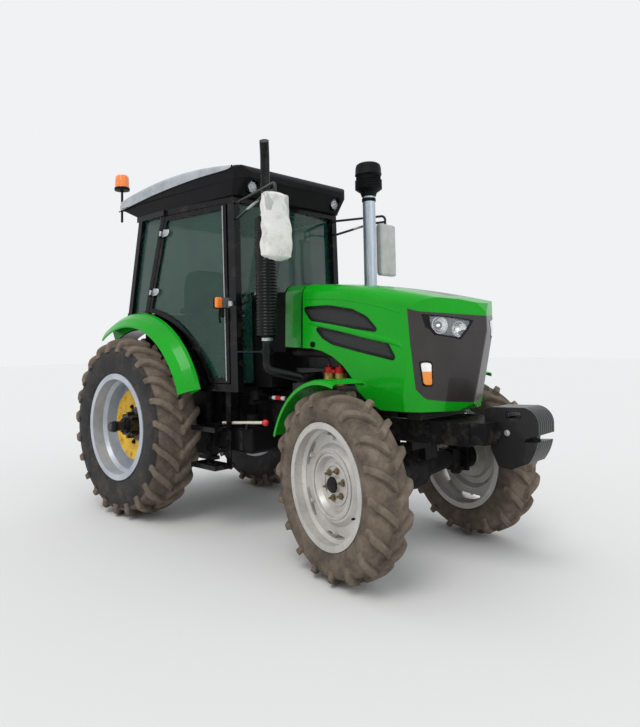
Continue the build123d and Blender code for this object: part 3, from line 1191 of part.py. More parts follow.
def nose_outline(z, inset):
    """Plan of the hood at a height: straight sides and a nose of six flats."""
    share = min(1.0, (z - NOSE_BOTTOM) / (NOSE_HIGH - NOSE_BOTTOM))
    left = [(xa + share * (xb - xa), ya + share * (yb - ya)) for (xa, ya), (xb, yb) in zip(NOSE_LOW_PLAN, NOSE_HIGH_PLAN)]
    right = [(x, -y) for x, y in left[:-1]]
    corners = [(COWL_X[0] - 100, -left[0][1]), *right, left[-1], *left[-2::-1], (COWL_X[0] - 100, left[0][1])]
    return make_face(FilletPolyline(*[(x, y, z) for x, y in shrunk(corners, inset)], radius=30, close=True))


def hood_plan(inset):
    """Plan of the hood as a block that falls back towards the lower lip of the nose."""
    low = nose_outline(HOOD_BASE - 100, inset)
    middle = nose_outline(NOSE_HIGH, inset)
    return joined(loft([low, middle], ruled=True), extrude(middle, amount=500, dir=(0, 0, 1)))


def hood_side(inset):
    """Side view of the hood as a block right across; an inner form runs on past the open edges."""
    past = HOOD_PAST if inset > 0 else 0.0
    t = inset
    outline = [(x, z - past) for x, z in SILL_LINE]
    outline[0] = (HOOD_X - past, outline[0][1])
    lip = 2425 - 1.3 * t
    outline += [(lip, NOSE_BOTTOM - past), (lip, NOSE_BOTTOM)] if past else [(lip, NOSE_BOTTOM)]
    outline += [
        (2466 - 1.3 * t, 905), (NOSE_X + 10 - t, 1245), (NOSE_X + 3 - t, 1330), (NOSE_X - 1 - t, 1400), (NOSE_X - 23 - 1.2 * t, 1450 - t),
        (1700, 1800 - 1.1 * t), (HOOD_X - past, 1800),
    ]
    return side_plate(outline, (-500, 500))


def hood_solid(inset):
    """The hood's outer form, or the form inside a skin of that thickness."""
    past = HOOD_PAST if inset > 0 else 0.0
    return hood_section(inset, HOOD_X - past, NOSE_X + 60) & hood_plan(inset) & hood_side(inset)


MASK_LINE = [
    (2272, 1424), (2293, 1189), (2303, 989), (2347, 935), (2455, 909), (2600, 905), (2600, 1372), (2448, 1393), (2340, 1405),
]


def mask_block():
    """Side view of the nose mask's area, right across the machine."""
    return side_plate(MASK_LINE, (-500, 500))


MESH = 3.0                   # thickness of the vent meshes
MESH_LAP = 12.0              # how far a mesh runs on behind the skin around its opening
VENTS = [
    # (x, z) corners of each opening, from the rear upper corner round
    [(1502, 1462), (1700, 1462), (1887, 1430), (1990, 1385), (2066, 1310), (1780, 1352), (1560, 1392)],
    [(1606, 1333), (1860, 1296), (2129, 1246), (2189, 1152), (1960, 1196), (1737, 1243), (1660, 1280)],
]


def vent_blocks(y, lap=0.0):
    """Both vents of one side as blocks between two values of y, grown all round by a lap."""
    return [side_plate(shrunk(outline, lap), y) for outline in VENTS]


def hood_lug(side):
    """Hinge lug under the hood's skin, beside the cowl's bracket."""
    x, z = HOOD_HINGE
    y = sorted((side * (HOOD_HINGE_Y + 8), side * (HOOD_HINGE_Y + 16)))
    eye = Pos(x, (y[0] + y[1]) / 2, z) * Rot(90, 0, 0) * Cylinder(11, 8)
    web = box((x - 10, x + 60), y, (z + 2, z + 40)) & hood_solid(2)
    return joined(eye, web) - Pos(x, 0, z) * Rot(90, 0, 0) * Cylinder(HOOD_PIN_RADIUS + RUN, 600)


def hood_parts():
    """Hood shell, nose mask and side meshes."""
    hollow = hood_solid(HOOD_SHEET)
    skin = hood_solid(0) - hollow
    mask = skin & mask_block()
    hood = skin - mask_block()
    lining = hollow - hood_solid(HOOD_SHEET + MESH)
    meshes = []
    for side in (1, -1):
        y = sorted((side * 300, side * 380))
        meshes += [lining & block for block in vent_blocks(y, MESH_LAP)]
        for block in vent_blocks(y):
            hood = hood - block
    return joined(hood, hood_lug(1), hood_lug(-1)), mask, meshes


def cowl_panel():
    """Fixed panel between the hood and the cab, with the brackets and pins that carry the hood."""
    x0, x1 = COWL_X
    outer = hood_section(0, x0, x1)
    inner = hood_section(HOOD_SHEET, x0 - 5, x1 + 5)
    trim = side_plate([(x0, 1222), (x1, 1216), (x1, 1800), (x0, 1800)], (-500, 500))
    half = HOOD_HALF - HOOD_SHEET - 8
    bar = box((x1 - 34, x1 - 14), (-half, half), (1480, 1504))
    hx, hz = HOOD_HINGE
    arms = []
    for side in (1, -1):
        y = sorted((side * (HOOD_HINGE_Y - 4), side * (HOOD_HINGE_Y + 4)))
        arms.append(side_plate([(x1 - 34, 1480), (hx + 10, 1480), (hx + 10, hz), (hx - 10, hz), (hx - 10, 1504), (x1 - 34, 1504)], y))
        arms.append(Pos(hx, side * HOOD_HINGE_Y, hz) * Rot(90, 0, 0) * Cylinder(10, 8))
        arms.append(Pos(hx, side * (HOOD_HINGE_Y + 6), hz) * Rot(90, 0, 0) * Cylinder(HOOD_PIN_RADIUS, 24))
    return joined((outer - inner) & trim, bar, *arms)


HEADLAMP = [(322, 1388), (83, 1354), (159, 1251), (286, 1278), (315, 1318)]
PILL_LAMP = [(322, 1144), (281, 1138), (262, 1002), (306, 1004)]


def front_lamps():
    """Headlamps behind trapezoid lenses and the upright position lamps below them."""
    form = hood_solid(-1.5)
    core = hood_solid(HOOD_SHEET + 50)
    lamps = []
    for side in (1, -1):
        head = front_plate([(side * y, z) for y, z in HEADLAMP], (2200, 2700))
        pill = front_plate([(side * y, z) for y, z in PILL_LAMP], (2200, 2500), corner=16)
        lamps += [(form - core) & head, (form - hood_solid(HOOD_SHEET + 20)) & pill]
    return lamps


# ---------------------------------------------------------------- doors
def door_outline(inset):
    """Door's edge on its plane: hinge bar, top, front and sill, with the curve over the fender."""
    lean = (HINGE_TOP_X - HINGE_FOOT[0]) / (RING_Z[0] - HINGE_FOOT[1])
    top = RING_Z[0] - GAP - inset
    low = SILL_Z + GAP + inset
    radius = ARCH_RADIUS + GAP + 4 + inset
    front = POST_HALF + GAP + inset
    rear_x = HINGE_FOOT[0] + GAP + inset
    start_z = wheel_arch(radius, rear_x)
    end_x = sqrt(radius**2 - (low - REAR_RADIUS) ** 2)
    mid_x = radius * cos(radians(52))
    mid_z = REAR_RADIUS + radius * sin(radians(52))
    p = [
        (door_x(rear_x), start_z),
        (door_x(rear_x + lean * (top - start_z)), top),
        (door_x(post_x(top) - front), top),
        (door_x(post_x(low) - front), low),
        (door_x(end_x), low),
    ]
    pts = [(x, 0, z) for x, z in p]
    edges = Polyline(*pts) + ThreePointArc(pts[-1], (door_x(mid_x), 0, mid_z), pts[0])
    return make_face(edges)


def door_parts():
    """Left door: tube frame with its hinges and latch, and the glass in it."""
    outer = door_outline(0)
    inner = door_outline(DOOR_BAR)
    frame = extrude(outer, amount=DOOR_WALL, dir=(0, -1, 0)) - Pos(0, 5, 0) * extrude(inner, amount=DOOR_WALL + 10, dir=(0, -1, 0))
    glass = Pos(0, -14, 0) * extrude(inner, amount=6, dir=(0, -1, 0))
    latch = box((door_x(post_x(1500)) - POST_HALF - GAP - DOOR_BAR - 30, door_x(post_x(1500)) - POST_HALF - GAP - DOOR_BAR), (-40, -12), (1430, 1500))
    frame = joined(frame, latch, *[hinge_barrel(z) for z in HINGE_Z])
    return on_door_plane(frame), on_door_plane(glass - latch)


# ---------------------------------------------------------------- mirrors and side lamps
MIRROR_RIGHT_X = 1585.0
MIRROR_LEFT_X = 1395.0
MIRROR_Y = FRONT_HALF + 140.0
MIRROR_Z = (1738.0, 2128.0)


def mirror_and_arm(x):
    """Left mirror head on its two-tube arm from the front post."""
    z0, z1 = MIRROR_Z
    head = fillet(box((x - 22, x + 30), (MIRROR_Y - 92, MIRROR_Y + 92), (z0, z1)).edges(), 18)
    y0, y1 = FRONT_HALF - 20, MIRROR_Y
    start = post_x(2190) + POST_HALF - 4
    upper = tube([(start, y0, 2190), (x, y1, 2196), (x, y1, z1 - 20)], 9, 30)
    lower = tube([(post_x(2080) + POST_HALF - 4, y0, 2080), (x - 110, y1 - 24, 2150), (x - 8, y1, 2150)], 9, 30)
    share = 0.7
    tie_x, tie_y = start + share * (x - start), y0 + share * (y1 - y0)
    tie = rod((tie_x, tie_y, 2194), (tie_x, tie_y, 2140), 7)
    return joined(head, upper, lower, tie)


def side_lamps():
    """Turn lamps on short brackets from the front posts."""
    lamp = fillet(box((985, 1045), (FRONT_HALF + 45, FRONT_HALF + 165), (1475, 1555)).edges(), 22)
    bracket = box((1005, 1021), (FRONT_HALF, FRONT_HALF + 55), (1505, 1525))
    return both_sides(joined(lamp, bracket))


# ---------------------------------------------------------------- assembly
def build():
    placed_rear_wheels()
    for name, piece in front_wheel_parts().items():
        straight = Pos(AXLE_X, FRONT_TRACK, FRONT_RADIUS) * piece
        nodes[f"front_{name}_left"] = steered(straight, 1)
        nodes[f"front_{name}_right"] = steered(right_of(straight), -1)
    carrier = knuckle()
    fender = front_fender()
    nodes["knuckle_left"] = steered(carrier, 1)
    nodes["knuckle_right"] = steered(right_of(carrier), -1)
    nodes["front_fender_left"] = steered(fender, 1)
    nodes["front_fender_right"] = steered(right_of(fender), -1)
    nodes["tie_rod"] = tie_rod()
    nodes["front_frame"] = front_frame()
    nodes["front_axle_beam"] = front_axle_beam() - nodes["front_frame"]
    nodes["engine_block"] = engine_block()
    nodes["engine_ancillaries"] = [piece - nodes["engine_block"] for piece in engine_ancillaries()]
    nodes["radiator"] = radiator()
    nodes["gearbox_housing"] = gearbox_housing()
    nodes["rear_axle_housing"] = rear_axle_housing()
    nodes["weight_carrier"] = weight_carrier()
    nodes["front_weights"] = front_weights()
    nodes["fuel_tank"] = fuel_tank() - nodes["gearbox_housing"]
    nodes["battery_box"] = battery_box() - nodes["gearbox_housing"]
    nodes["steps"] = steps()
    nodes["muffler"] = muffler()
    nodes["exhaust_pipe"] = exhaust_pipe()
    nodes["intake_pipe"] = intake_pipe()
    nodes["pre_cleaner"] = pre_cleaner()
    nodes["cab_frame"] = cab_frame()
    nodes["cab_floor"] = cab_floor() - nodes["cab_frame"]
    nodes["cab_glass"] = [pane - nodes["cab_frame"] for pane in cab_glass()]
    nodes["roof_liner"], nodes["roof_cover"] = roof_parts()
    nodes["roof_lamps"] = roof_lamps()
    nodes["beacon"] = beacon()
    nodes["rear_fenders"] = [fender - nodes["cab_frame"] for fender in both_sides(rear_fender())]
    nodes["seat"] = seat()
    nodes["console"] = console()
    nodes["steering_wheel"] = steering_wheel()
    nodes["front_lamps"] = front_lamps()
    hood, mask, nodes["hood_meshes"] = hood_parts()
    for lamp in nodes["front_lamps"]:
        hood = hood - lamp
        mask = mask - lamp
    nodes["hood_shell"], nodes["nose_mask"] = hood, mask
    nodes["cowl_panel"] = cowl_panel()
    frame, glass = door_parts()
    nodes["door_frame_left"], nodes["door_frame_right"] = both_sides(frame)
    nodes["door_glass_left"], nodes["door_glass_right"] = both_sides(glass)
    arms = [mirror_and_arm(MIRROR_LEFT_X), right_of(mirror_and_arm(MIRROR_RIGHT_X))]
    nodes["mirrors"] = [arm - nodes["cab_frame"] for arm in arms]
    nodes["side_lamps"] = side_lamps()
    nodes["lift_arms"] = lift_arms()
    nodes["top_link"] = top_link()
    nodes["pto_shaft"] = pto_shaft()
    nodes["lower_link_left"], nodes["lower_link_right"] = both_sides(lower_link())
    nodes["lift_rod_left"], nodes["lift_rod_right"] = both_sides(lift_rod())


def as_compound(piece):
    return Compound(children=[s for p in (piece if isinstance(piece, list) else [piece]) for s in p.solids()])


build()
nodes = {name: as_compound(piece) for name, piece in nodes.items()}
whole = Compound(children=[s for piece in nodes.values() for s in piece.solids()]).bounding_box()
SHIFT = Vector(-(whole.min.X + whole.max.X) / 2, -(whole.min.Y + whole.max.Y) / 2, -whole.min.Z)
os.makedirs(OUT, exist_ok=True)
for name, piece in nodes.items():
    export_step(Compound([s.moved(Location(SHIFT)) for s in piece.solids()]), f"{OUT}/{name}.step")
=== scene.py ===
import json
from math import cos, pi, radians, sin

import bmesh
import bpy
import numpy as np
from mathutils import Matrix


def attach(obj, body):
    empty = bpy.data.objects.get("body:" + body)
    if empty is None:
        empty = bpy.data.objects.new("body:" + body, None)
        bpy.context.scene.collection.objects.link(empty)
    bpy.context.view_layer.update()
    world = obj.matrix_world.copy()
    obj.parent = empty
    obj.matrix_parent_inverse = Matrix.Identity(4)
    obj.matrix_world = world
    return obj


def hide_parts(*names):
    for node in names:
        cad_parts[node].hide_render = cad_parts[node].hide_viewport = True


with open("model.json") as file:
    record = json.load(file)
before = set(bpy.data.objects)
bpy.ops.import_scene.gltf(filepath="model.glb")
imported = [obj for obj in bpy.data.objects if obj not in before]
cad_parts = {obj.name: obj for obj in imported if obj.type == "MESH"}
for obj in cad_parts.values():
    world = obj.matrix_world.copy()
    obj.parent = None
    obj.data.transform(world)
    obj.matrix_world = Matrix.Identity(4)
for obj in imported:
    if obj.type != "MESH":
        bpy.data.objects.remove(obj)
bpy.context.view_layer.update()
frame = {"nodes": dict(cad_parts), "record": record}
nodes = frame["nodes"]
joints = {joint["name"]: joint for joint in frame["record"]["behaviour"]["joints"]}


# ---------------------------------------------------------------- studio
# A pale sheet for a floor, a broad soft key light from the tractor's right, a weaker one from
# ahead and a bright even sky.
rear_axle_x = joints["rear_wheel_left"]["pos_m"][0]


def at(x, y, z):
    """Points measured from the rear axle (x), the tractor's middle (y) and the ground (z)."""
    return np.stack(np.broadcast_arrays(x + rear_axle_x, y, z), -1)


scene = bpy.context.scene
scene.view_settings.view_transform = "Standard"
world = bpy.data.worlds.new("even_sky")
scene.world = world
world.use_nodes = True
world.node_tree.nodes["Background"].inputs["Color"].default_value = (0.97, 0.985, 1.0, 1)
world.node_tree.nodes["Background"].inputs["Strength"].default_value = 0.90


def lamp(name, towards, power, softness, colour):
    """A broad soft light that shines evenly along a direction; softness is the angle it fills."""
    data = bpy.data.lights.new(name, "SUN")
    data.energy, data.angle, data.color = power, softness, colour
    obj = bpy.data.objects.new(name, data)
    scene.collection.objects.link(obj)
    to = np.array(towards, float) / np.linalg.norm(towards)
    side = np.cross(to, (0, 0, 1))
    side = side / np.linalg.norm(side)
    obj.rotation_euler = Matrix(np.array([side, np.cross(side, to), -to]).T.tolist()).to_euler()


lamp("key", (-0.25, 0.62, -0.9), 1.15, 0.5, (1.0, 0.985, 0.96))
lamp("fill", (-0.9, 0.1, -0.45), 0.40, 0.9, (0.96, 0.98, 1.0))

floor_mesh = bpy.data.meshes.new("floor")
reach = 40.0
floor_mesh.from_pydata(
    [(-reach, -reach, 0), (reach, -reach, 0), (reach, reach, 0), (-reach, reach, 0)], [], [(0, 1, 2, 3)]
)
floor = bpy.data.objects.new("floor", floor_mesh)
scene.collection.objects.link(floor)
floor_finish = bpy.data.materials.new("pale_floor")
floor_finish.use_nodes = True
floor_finish.node_tree.nodes["Principled BSDF"].inputs["Base Color"].default_value = (
    0.685, 0.685, 0.685, 1
)
floor_finish.node_tree.nodes["Principled BSDF"].inputs["Roughness"].default_value = 0.9
floor.data.materials.append(floor_finish)

# camera: its place, the way it looks, and a small lean to the side
camera_data = bpy.data.cameras.new("camera")
camera = bpy.data.objects.new("camera", camera_data)
scene.collection.objects.link(camera)
scene.camera = camera
yaw, pitch, lean = radians(136.1), radians(3.61), radians(-0.85)
ahead = np.array([cos(yaw) * cos(pitch), sin(yaw) * cos(pitch), sin(pitch)])
right = np.cross(ahead, (0, 0, 1))
right = right / np.linalg.norm(right)
above = np.cross(right, ahead)
right, above = right * cos(lean) + above * sin(lean), above * cos(lean) - right * sin(lean)
turn = np.eye(4)
turn[:3, 0], turn[:3, 1], turn[:3, 2], turn[:3, 3] = right, above, -ahead, at(4.2596, -3.1482, 1.2437)
camera.matrix_world = Matrix(turn.tolist())
camera_data.lens = 31.13
camera_data.sensor_width = 36.0
camera_data.shift_x = 0.046
camera_data.shift_y = -0.082


# ---------------------------------------------------------------- rear and front tyres
# Farm tyres of black rubber, moulded with curved bars in two staggered rows that meet at the
# tread's middle. The bars wear a dry tan dust, the sidewalls keep more of the black.


class Finish:
    """A material in the making: its nodes and its principled shader."""

    def __init__(self, name, colour, rough, metal=0.0, **sockets):
        self.material = bpy.data.materials.new(name)
        self.material.use_nodes = True
        self.tree = self.material.node_tree
        self.shader = self.tree.nodes["Principled BSDF"]
        self.set(Base_Color=(*colour, 1), Roughness=rough, Metallic=metal, **sockets)

    def set(self, **sockets):
        """Sets or feeds sockets of the shader; an underscore stands for a space."""
        for name, value in sockets.items():
            self.feed(self.shader.inputs[name.replace("_", " ")], value)

    def feed(self, socket, value):
        """Links a node's output to a socket, or sets the socket to a plain value."""
        if isinstance(value, bpy.types.NodeSocket):
            self.tree.links.new(value, socket)
        else:
            socket.default_value = value

    def add(self, kind, output, inputs, **settings):
        """Adds a node, sets it up and gives back the named output."""
        made = self.tree.nodes.new("ShaderNode" + kind)
        for name, value in settings.items():
            setattr(made, name, value)
        for name, value in inputs.items():
            self.feed(made.inputs[name], value)
        return made.outputs[output]

    def place(self, centre=(0, 0, 0), turn=(0, 0, 0), stretch=(1, 1, 1)):
        """Object coordinates, moved to a centre, turned and stretched."""
        raw = self.add("TexCoord", "Object", {})
        shifted = self.add("VectorMath", "Vector", {0: raw, 1: tuple(-c for c in centre)}, operation="ADD")
        return self.add("Mapping", "Vector", {"Vector": shifted, "Rotation": turn, "Scale": stretch})

    def noise(self, scale, detail=4.0, rough=0.6, vector=None):
        vector = vector or self.place()
        return self.add(
            "TexNoise", "Fac", {"Vector": vector, "Scale": scale, "Detail": detail, "Roughness": rough}
        )

    def sum(self, a, b, kind="ADD", clamp=False):
        return self.add("Math", 0, {0: a, 1: b}, operation=kind, use_clamp=clamp)

    def between(self, value, low, high, to_low=0.0, to_high=1.0):
        """Maps a value from low..high onto to_low..to_high, held at the ends."""
        return self.add(
            "MapRange", "Result",
            {"Value": value, "From Min": low, "From Max": high, "To Min": to_low, "To Max": to_high}
        )

    def blend(self, share, a, b):
        """Colour between a and b."""
        a = (*a, 1) if isinstance(a, tuple) and len(a) == 3 else a
        b = (*b, 1) if isinstance(b, tuple) and len(b) == 3 else b
        return self.add("Mix", 2, {0: share, 6: a, 7: b}, data_type="RGBA")

    def worn(self, noise, span, clean, dirty, rough=None, most=1.0):
        """Colour from clean to dirty as a noise crosses a span. Two values of rough follow that
        share; four map the noise itself (low, high, and roughness at each)."""
        raw = self.noise(*noise) if isinstance(noise, tuple) else noise
        share = self.between(raw, *span, 0.0, most)
        self.set(Base_Color=self.blend(share, clean, dirty))
        if rough and len(rough) == 2:
            self.set(Roughness=self.between(share, 0, most, *rough))
        elif rough:
            self.set(Roughness=self.between(raw, *rough))
        return share

    def satin(self, scale, low, high):
        """Roughness that drifts between two values."""
        self.set(Roughness=self.between(self.noise(scale), 0.3, 0.7, low, high))

    def bump(self, height, distance, strength=1.0):
        """Relief from a node's output, or from a noise given by its settings."""
        height = self.noise(*height) if isinstance(height, tuple) else height
        self.set(
            Normal=self.add(
                "Bump", "Normal", {"Height": height, "Distance": distance, "Strength": strength}
            )
        )

    def on(self, *objects):
        """Puts the material on objects in place of what they had."""
        for obj in objects:
            obj = nodes[obj] if isinstance(obj, str) else obj
            obj.data.materials.clear()
            obj.data.materials.append(self.material)
            for face in obj.data.polygons:
                face.material_index = 0
        return self


def grid(points, around=False, along=False, caps=False):
    """Points of shape (rows, columns, 3) as a part: the flat list and its four-sided faces.
    around closes each row on itself, along joins the last row to the first, caps closes both ends."""
    rows, columns = points.shape[:2]
    number = np.arange(rows * columns).reshape(rows, columns)
    ends = [number[0].tolist(), number[-1].tolist()] if caps else []
    if along:
        number = np.vstack([number, number[:1]])
    if around:
        number = np.hstack([number, number[:, :1]])
    corners = number[:-1, :-1], number[:-1, 1:], number[1:, 1:], number[1:, :-1]
    return points.reshape(-1, 3), np.stack(corners, -1).reshape(-1, 4).tolist() + ends


def piece(name, parts, finish, body="chassis", crisp=35.0):
    """One object from parts: faces point outwards, and edges that turn more than crisp degrees stay sharp."""
    starts = np.cumsum([0] + [len(points) for points, _ in parts])
    mesh = bpy.data.meshes.new(name)
    mesh.from_pydata(
        np.vstack([points for points, _ in parts]).tolist(),
        [],
        [[start + i for i in face] for (_, faces), start in zip(parts, starts) for face in faces],
    )
    work = bmesh.new()
    work.from_mesh(mesh)
    bmesh.ops.recalc_face_normals(work, faces=work.faces)
    work.to_mesh(mesh)
    work.free()
    mesh.shade_smooth()
    mesh.set_sharp_from_angle(angle=radians(crisp))
    obj = bpy.data.objects.new(name, mesh)
    scene.collection.objects.link(obj)
    finish.on(obj)
    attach(obj, body)
    return obj


def smooth_line(corners, steps):
    """Points along a smooth curve through the corners (Catmull-Rom: each span bends by its neighbours)."""
    p = np.asarray(corners, float)
    p = np.vstack([2 * p[0] - p[1], p, 2 * p[-1] - p[-2]])
    spans = len(p) - 3
    t = np.linspace(0, spans, steps)
    k = np.minimum(t.astype(int), spans - 1)
    u = (t - k)[:, None]
    a, b, c, d = p[k], p[k + 1], p[k + 2], p[k + 3]
    return 0.5 * (2 * b + (c - a) * u + (2 * a - 5 * b + 4 * c - d) * u**2 + (3 * b - a - 3 * c + d) * u**3)


def wheel_frame(joint):
    """Centre of a wheel and its directions: forwards, outwards along the axle to the left, and up."""
    centre = np.array(joints[joint]["pos_m"])
    out = np.array(joints[joint]["axis"], float)
    out = out / np.linalg.norm(out)
    up = np.array([0.0, 0.0, 1.0])
    return centre, np.cross(out, up), out, up


def around_wheel(joint, angle, radius, y):
    """Points on a wheel: angle from the top towards the front, radius, and place along the axle."""
    centre, ahead, out, up = wheel_frame(joint)
    angle, radius, y = np.broadcast_arrays(angle, radius, y)
    return (
        centre
        + (radius * np.sin(angle))[..., None] * ahead
        + (radius * np.cos(angle))[..., None] * up
        + y[..., None] * out
    )


def mm(*points):
    """Points given in millimetres, as an array in metres."""
    return np.array(points) / 1000


# (radius, distance from the wheel's middle) of half the casing, from the tread's middle to the rim
REAR_CASING = [
    (0.616, 0.0), (0.6145, 0.06), (0.611, 0.105), (0.602, 0.138), (0.583, 0.157),
    (0.55, 0.1675), (0.50, 0.172), (0.445, 0.168), (0.405, 0.160), (0.386, 0.150), (0.352, 0.149),
]
FRONT_CASING = [
    (0.469, 0.0), (0.468, 0.035), (0.465, 0.065), (0.457, 0.086), (0.443, 0.100),
    (0.42, 0.107), (0.39, 0.109), (0.36, 0.104), (0.338, 0.095), (0.328, 0.086), (0.302, 0.085),
]
# bars on each side, bar height, half width at the middle and at the shoulder, lead angle of the
# middle end, share of the casing's half line that a bar covers, dust on bars, tread floor and sidewall
TREADS = {
    "rear": (REAR_CASING, 23, 0.0345, 0.021, 0.030, 0.235, 0.46, (1.0, 0.75, 0.07)),
    "front": (FRONT_CASING, 18, 0.0275, 0.0175, 0.023, 0.215, 0.50, (1.0, 0.85, 0.75)),
}


def casing_line(casing, steps):
    """Half casing as a smooth line with its outward normals, evenly spaced by length."""
    line = smooth_line(casing, 400)
    length = np.concatenate([[0], np.cumsum(np.hypot(*np.diff(line, axis=0).T))])
    share = np.linspace(0, length[-1], steps)
    line = np.stack([np.interp(share, length, line[:, i]) for i in (0, 1)], 1)
    along = np.gradient(line, axis=0)
    normal = np.stack([along[:, 1], -along[:, 0]], 1)
    return line, normal / np.linalg.norm(normal, axis=1)[:, None]


def tyre(name, joint, kind, body, node):
    """Casing turned about the axle, with each bar laid along it from the middle to the shoulder.
    A bar's section is a trapezium on the casing's normal; its angle runs back from the middle end."""
    casing, count, height, narrow, wide, lead, cover, dust = TREADS[kind]
    half, _ = casing_line(casing, 34)
    profile = np.vstack([half[::-1] * (1, -1), half[1:]])
    turns = np.linspace(0, 2 * pi, 180, endpoint=False)
    skin = around_wheel(joint, turns[:, None], profile[None, :, 0], profile[None, :, 1])
    parts = [grid(skin, around=True, along=True)]
    floor, bead = casing[0][0], casing[-1][0]
    up = (profile[:, 0] - bead) / (floor - bead)
    marks = [
        np.tile(np.where(profile[:, 0] > floor - 0.03, dust[1], dust[2] * (0.8 + 0.4 * up)), len(turns))
    ]
    samples, stations = 200, 15
    line, normal = casing_line(casing, samples)
    pick = np.linspace(3, cover * (samples - 1), stations).astype(int)
    t = np.linspace(0, 1, stations)
    rise = height * np.clip((1 - t) / 0.22, 0.32, 1) ** 0.7
    half_width = wide + (narrow - wide) * t**0.8
    across = np.array([-1.30, -1.02, -0.86, 0.0, 0.82, 0.98, 1.26])
    lift = np.array([-0.25, 0.88, 1.0, 1.03, 1.0, 0.88, -0.25])
    r = line[pick, 0][:, None] + normal[pick, 0][:, None] * rise[:, None] * lift
    y = line[pick, 1][:, None] + normal[pick, 1][:, None] * rise[:, None] * lift
    turn = lead * ((1 - t) ** 1.15)[:, None] - lead / 2 + across * half_width[:, None] / floor
    r = np.vstack([r[:1] * 0 + floor - 0.012, r, r[-1:] * 0 + line[pick[-1], 0] - 0.012])
    y = np.vstack([y[:1] - 0.010, y, y[-1:] + 0.004])
    turn = np.vstack([turn[:1], turn, turn[-1:]])
    mark = np.where(lift > 0.5, dust[0], dust[1] * 0.8) * np.ones((len(r), 1))
    for side in (1, -1):
        for k in range(count):
            middle = 2 * pi * (k + (0.25 if side > 0 else 0.75)) / count
            parts.append(grid(around_wheel(joint, middle + turn, r, side * y), around=True, caps=True))
            marks.append(mark.ravel())
    obj = piece(name, parts, rubber, body, crisp=48.0)
    obj.data.attributes.new("dust", "FLOAT", "POINT").data.foreach_set("value", np.concatenate(marks))
    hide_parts(node)


rubber = Finish("dusty_rubber", (0.02, 0.02, 0.02), 0.85, Specular_IOR_Level=0.25)
amount = rubber.add("Attribute", "Fac", {}, attribute_name="dust")
patches = rubber.between(rubber.noise(9.0, 6.0, 0.7), 0.3, 0.7)
grains = rubber.noise(160.0, 3.0, 0.7)
share = rubber.sum(amount, rubber.between(patches, 0, 1, -0.22, 0.22), clamp=True)
share = rubber.sum(share, rubber.between(grains, 0.3, 0.7, -0.1, 0.1), clamp=True)
dusty = rubber.blend(patches, (0.105, 0.082, 0.063), (0.205, 0.162, 0.126))
rubber.set(Base_Color=rubber.blend(share, (0.012, 0.012, 0.014), dusty))
rubber.set(Roughness=rubber.between(share, 0, 1, 0.55, 0.95))
rubber.bump(grains, 0.0008, 0.6)

for side in ("left", "right"):
    tyre(f"rear_tyre_{side}_tread", f"rear_wheel_{side}", "rear", f"wheel_rear_{side}", f"rear_tyre_{side}")
    tyre(
        f"front_tyre_{side}_tread", f"front_wheel_{side}", "front", f"wheel_front_{side}",
        f"front_tyre_{side}"
    )


# ---------------------------------------------------------------- rims, discs and hubs
# Pressed steel rims in silver paint. The rear ones carry a yellow disc round a black cast hub that
# clamps on the axle bar; the front ones carry a dished disc with six lobes, held by six nuts.
SIDES = (("left", 1), ("right", -1))


def turned(base, axis, profile, steps=48, caps=True):
    """Surface of revolution: base + height * axis + radius * a unit circle across the axis."""
    profile = np.asarray(profile, float)
    axis = np.asarray(axis, float) / np.linalg.norm(axis)
    first = np.cross(axis, (0.31, 0.17, 0.93))
    first = first / np.linalg.norm(first)
    second = np.cross(axis, first)
    t = np.linspace(0, 2 * pi, steps, endpoint=False)
    circle = np.cos(t)[:, None] * first + np.sin(t)[:, None] * second
    rows = np.asarray(base) + profile[:, 1, None, None] * axis + profile[:, 0, None, None] * circle
    return grid(rows, around=True, caps=caps)


def bolts(places, axis, size, height, washer=0.0):
    """Hexagon heads with a chamfer, each on a round washer: turned parts of six sides and of sixteen."""
    head = [
        (size, washer - 0.001), (size, washer + 0.8 * height), (0.86 * size, washer + height),
        (0.4 * size, washer + height)
    ]
    found = [turned(place, axis, head, 6) for place in places]
    if washer:
        disc = [(1.55 * size, -0.001), (1.55 * size, washer), (0.9 * size, washer)]
        found += [turned(place, axis, disc, 16) for place in places]
    return found


def circle_on(joint, count, radius, y, start=0.0):
    """Evenly spaced points on a wheel at one radius, y outwards to the left."""
    return around_wheel(
        joint, start + np.linspace(0, 2 * pi, count, endpoint=False), radius, np.full(count, y)
    )


rim_silver = Finish("rim_silver", (0.6, 0.61, 0.63), 0.38, 0.35, Coat_Weight=0.25)
soft = rim_silver.noise(5.0, 5.0, 0.6)
specks = rim_silver.between(rim_silver.noise(45.0, 6.0, 0.75), 0.55, 0.72)
ahead_of = rim_silver.add("SeparateXYZ", "X", {0: rim_silver.place(tuple(at(1.0, 0, 0)))})
ahead_of = rim_silver.sum(ahead_of, 0, "GREATER_THAN")
dull = rim_silver.blend(ahead_of, (0.33, 0.36, 0.41), (0.39, 0.375, 0.35))
fresh = rim_silver.blend(ahead_of, (0.50, 0.54, 0.60), (0.60, 0.585, 0.55))
tone = rim_silver.blend(rim_silver.between(soft, 0.3, 0.7), dull, fresh)
tone = rim_silver.blend(rim_silver.sum(specks, 0.5, "MULTIPLY"), tone, (0.23, 0.17, 0.12))
rim_silver.set(Base_Color=tone, Roughness=rim_silver.between(soft, 0.3, 0.7, 0.30, 0.5))
rim_silver.bump((420.0, 2.0), 0.0002, 0.4)
rim_silver.on("rear_rim_left", "rear_rim_right", "front_rim_left", "front_rim_right")

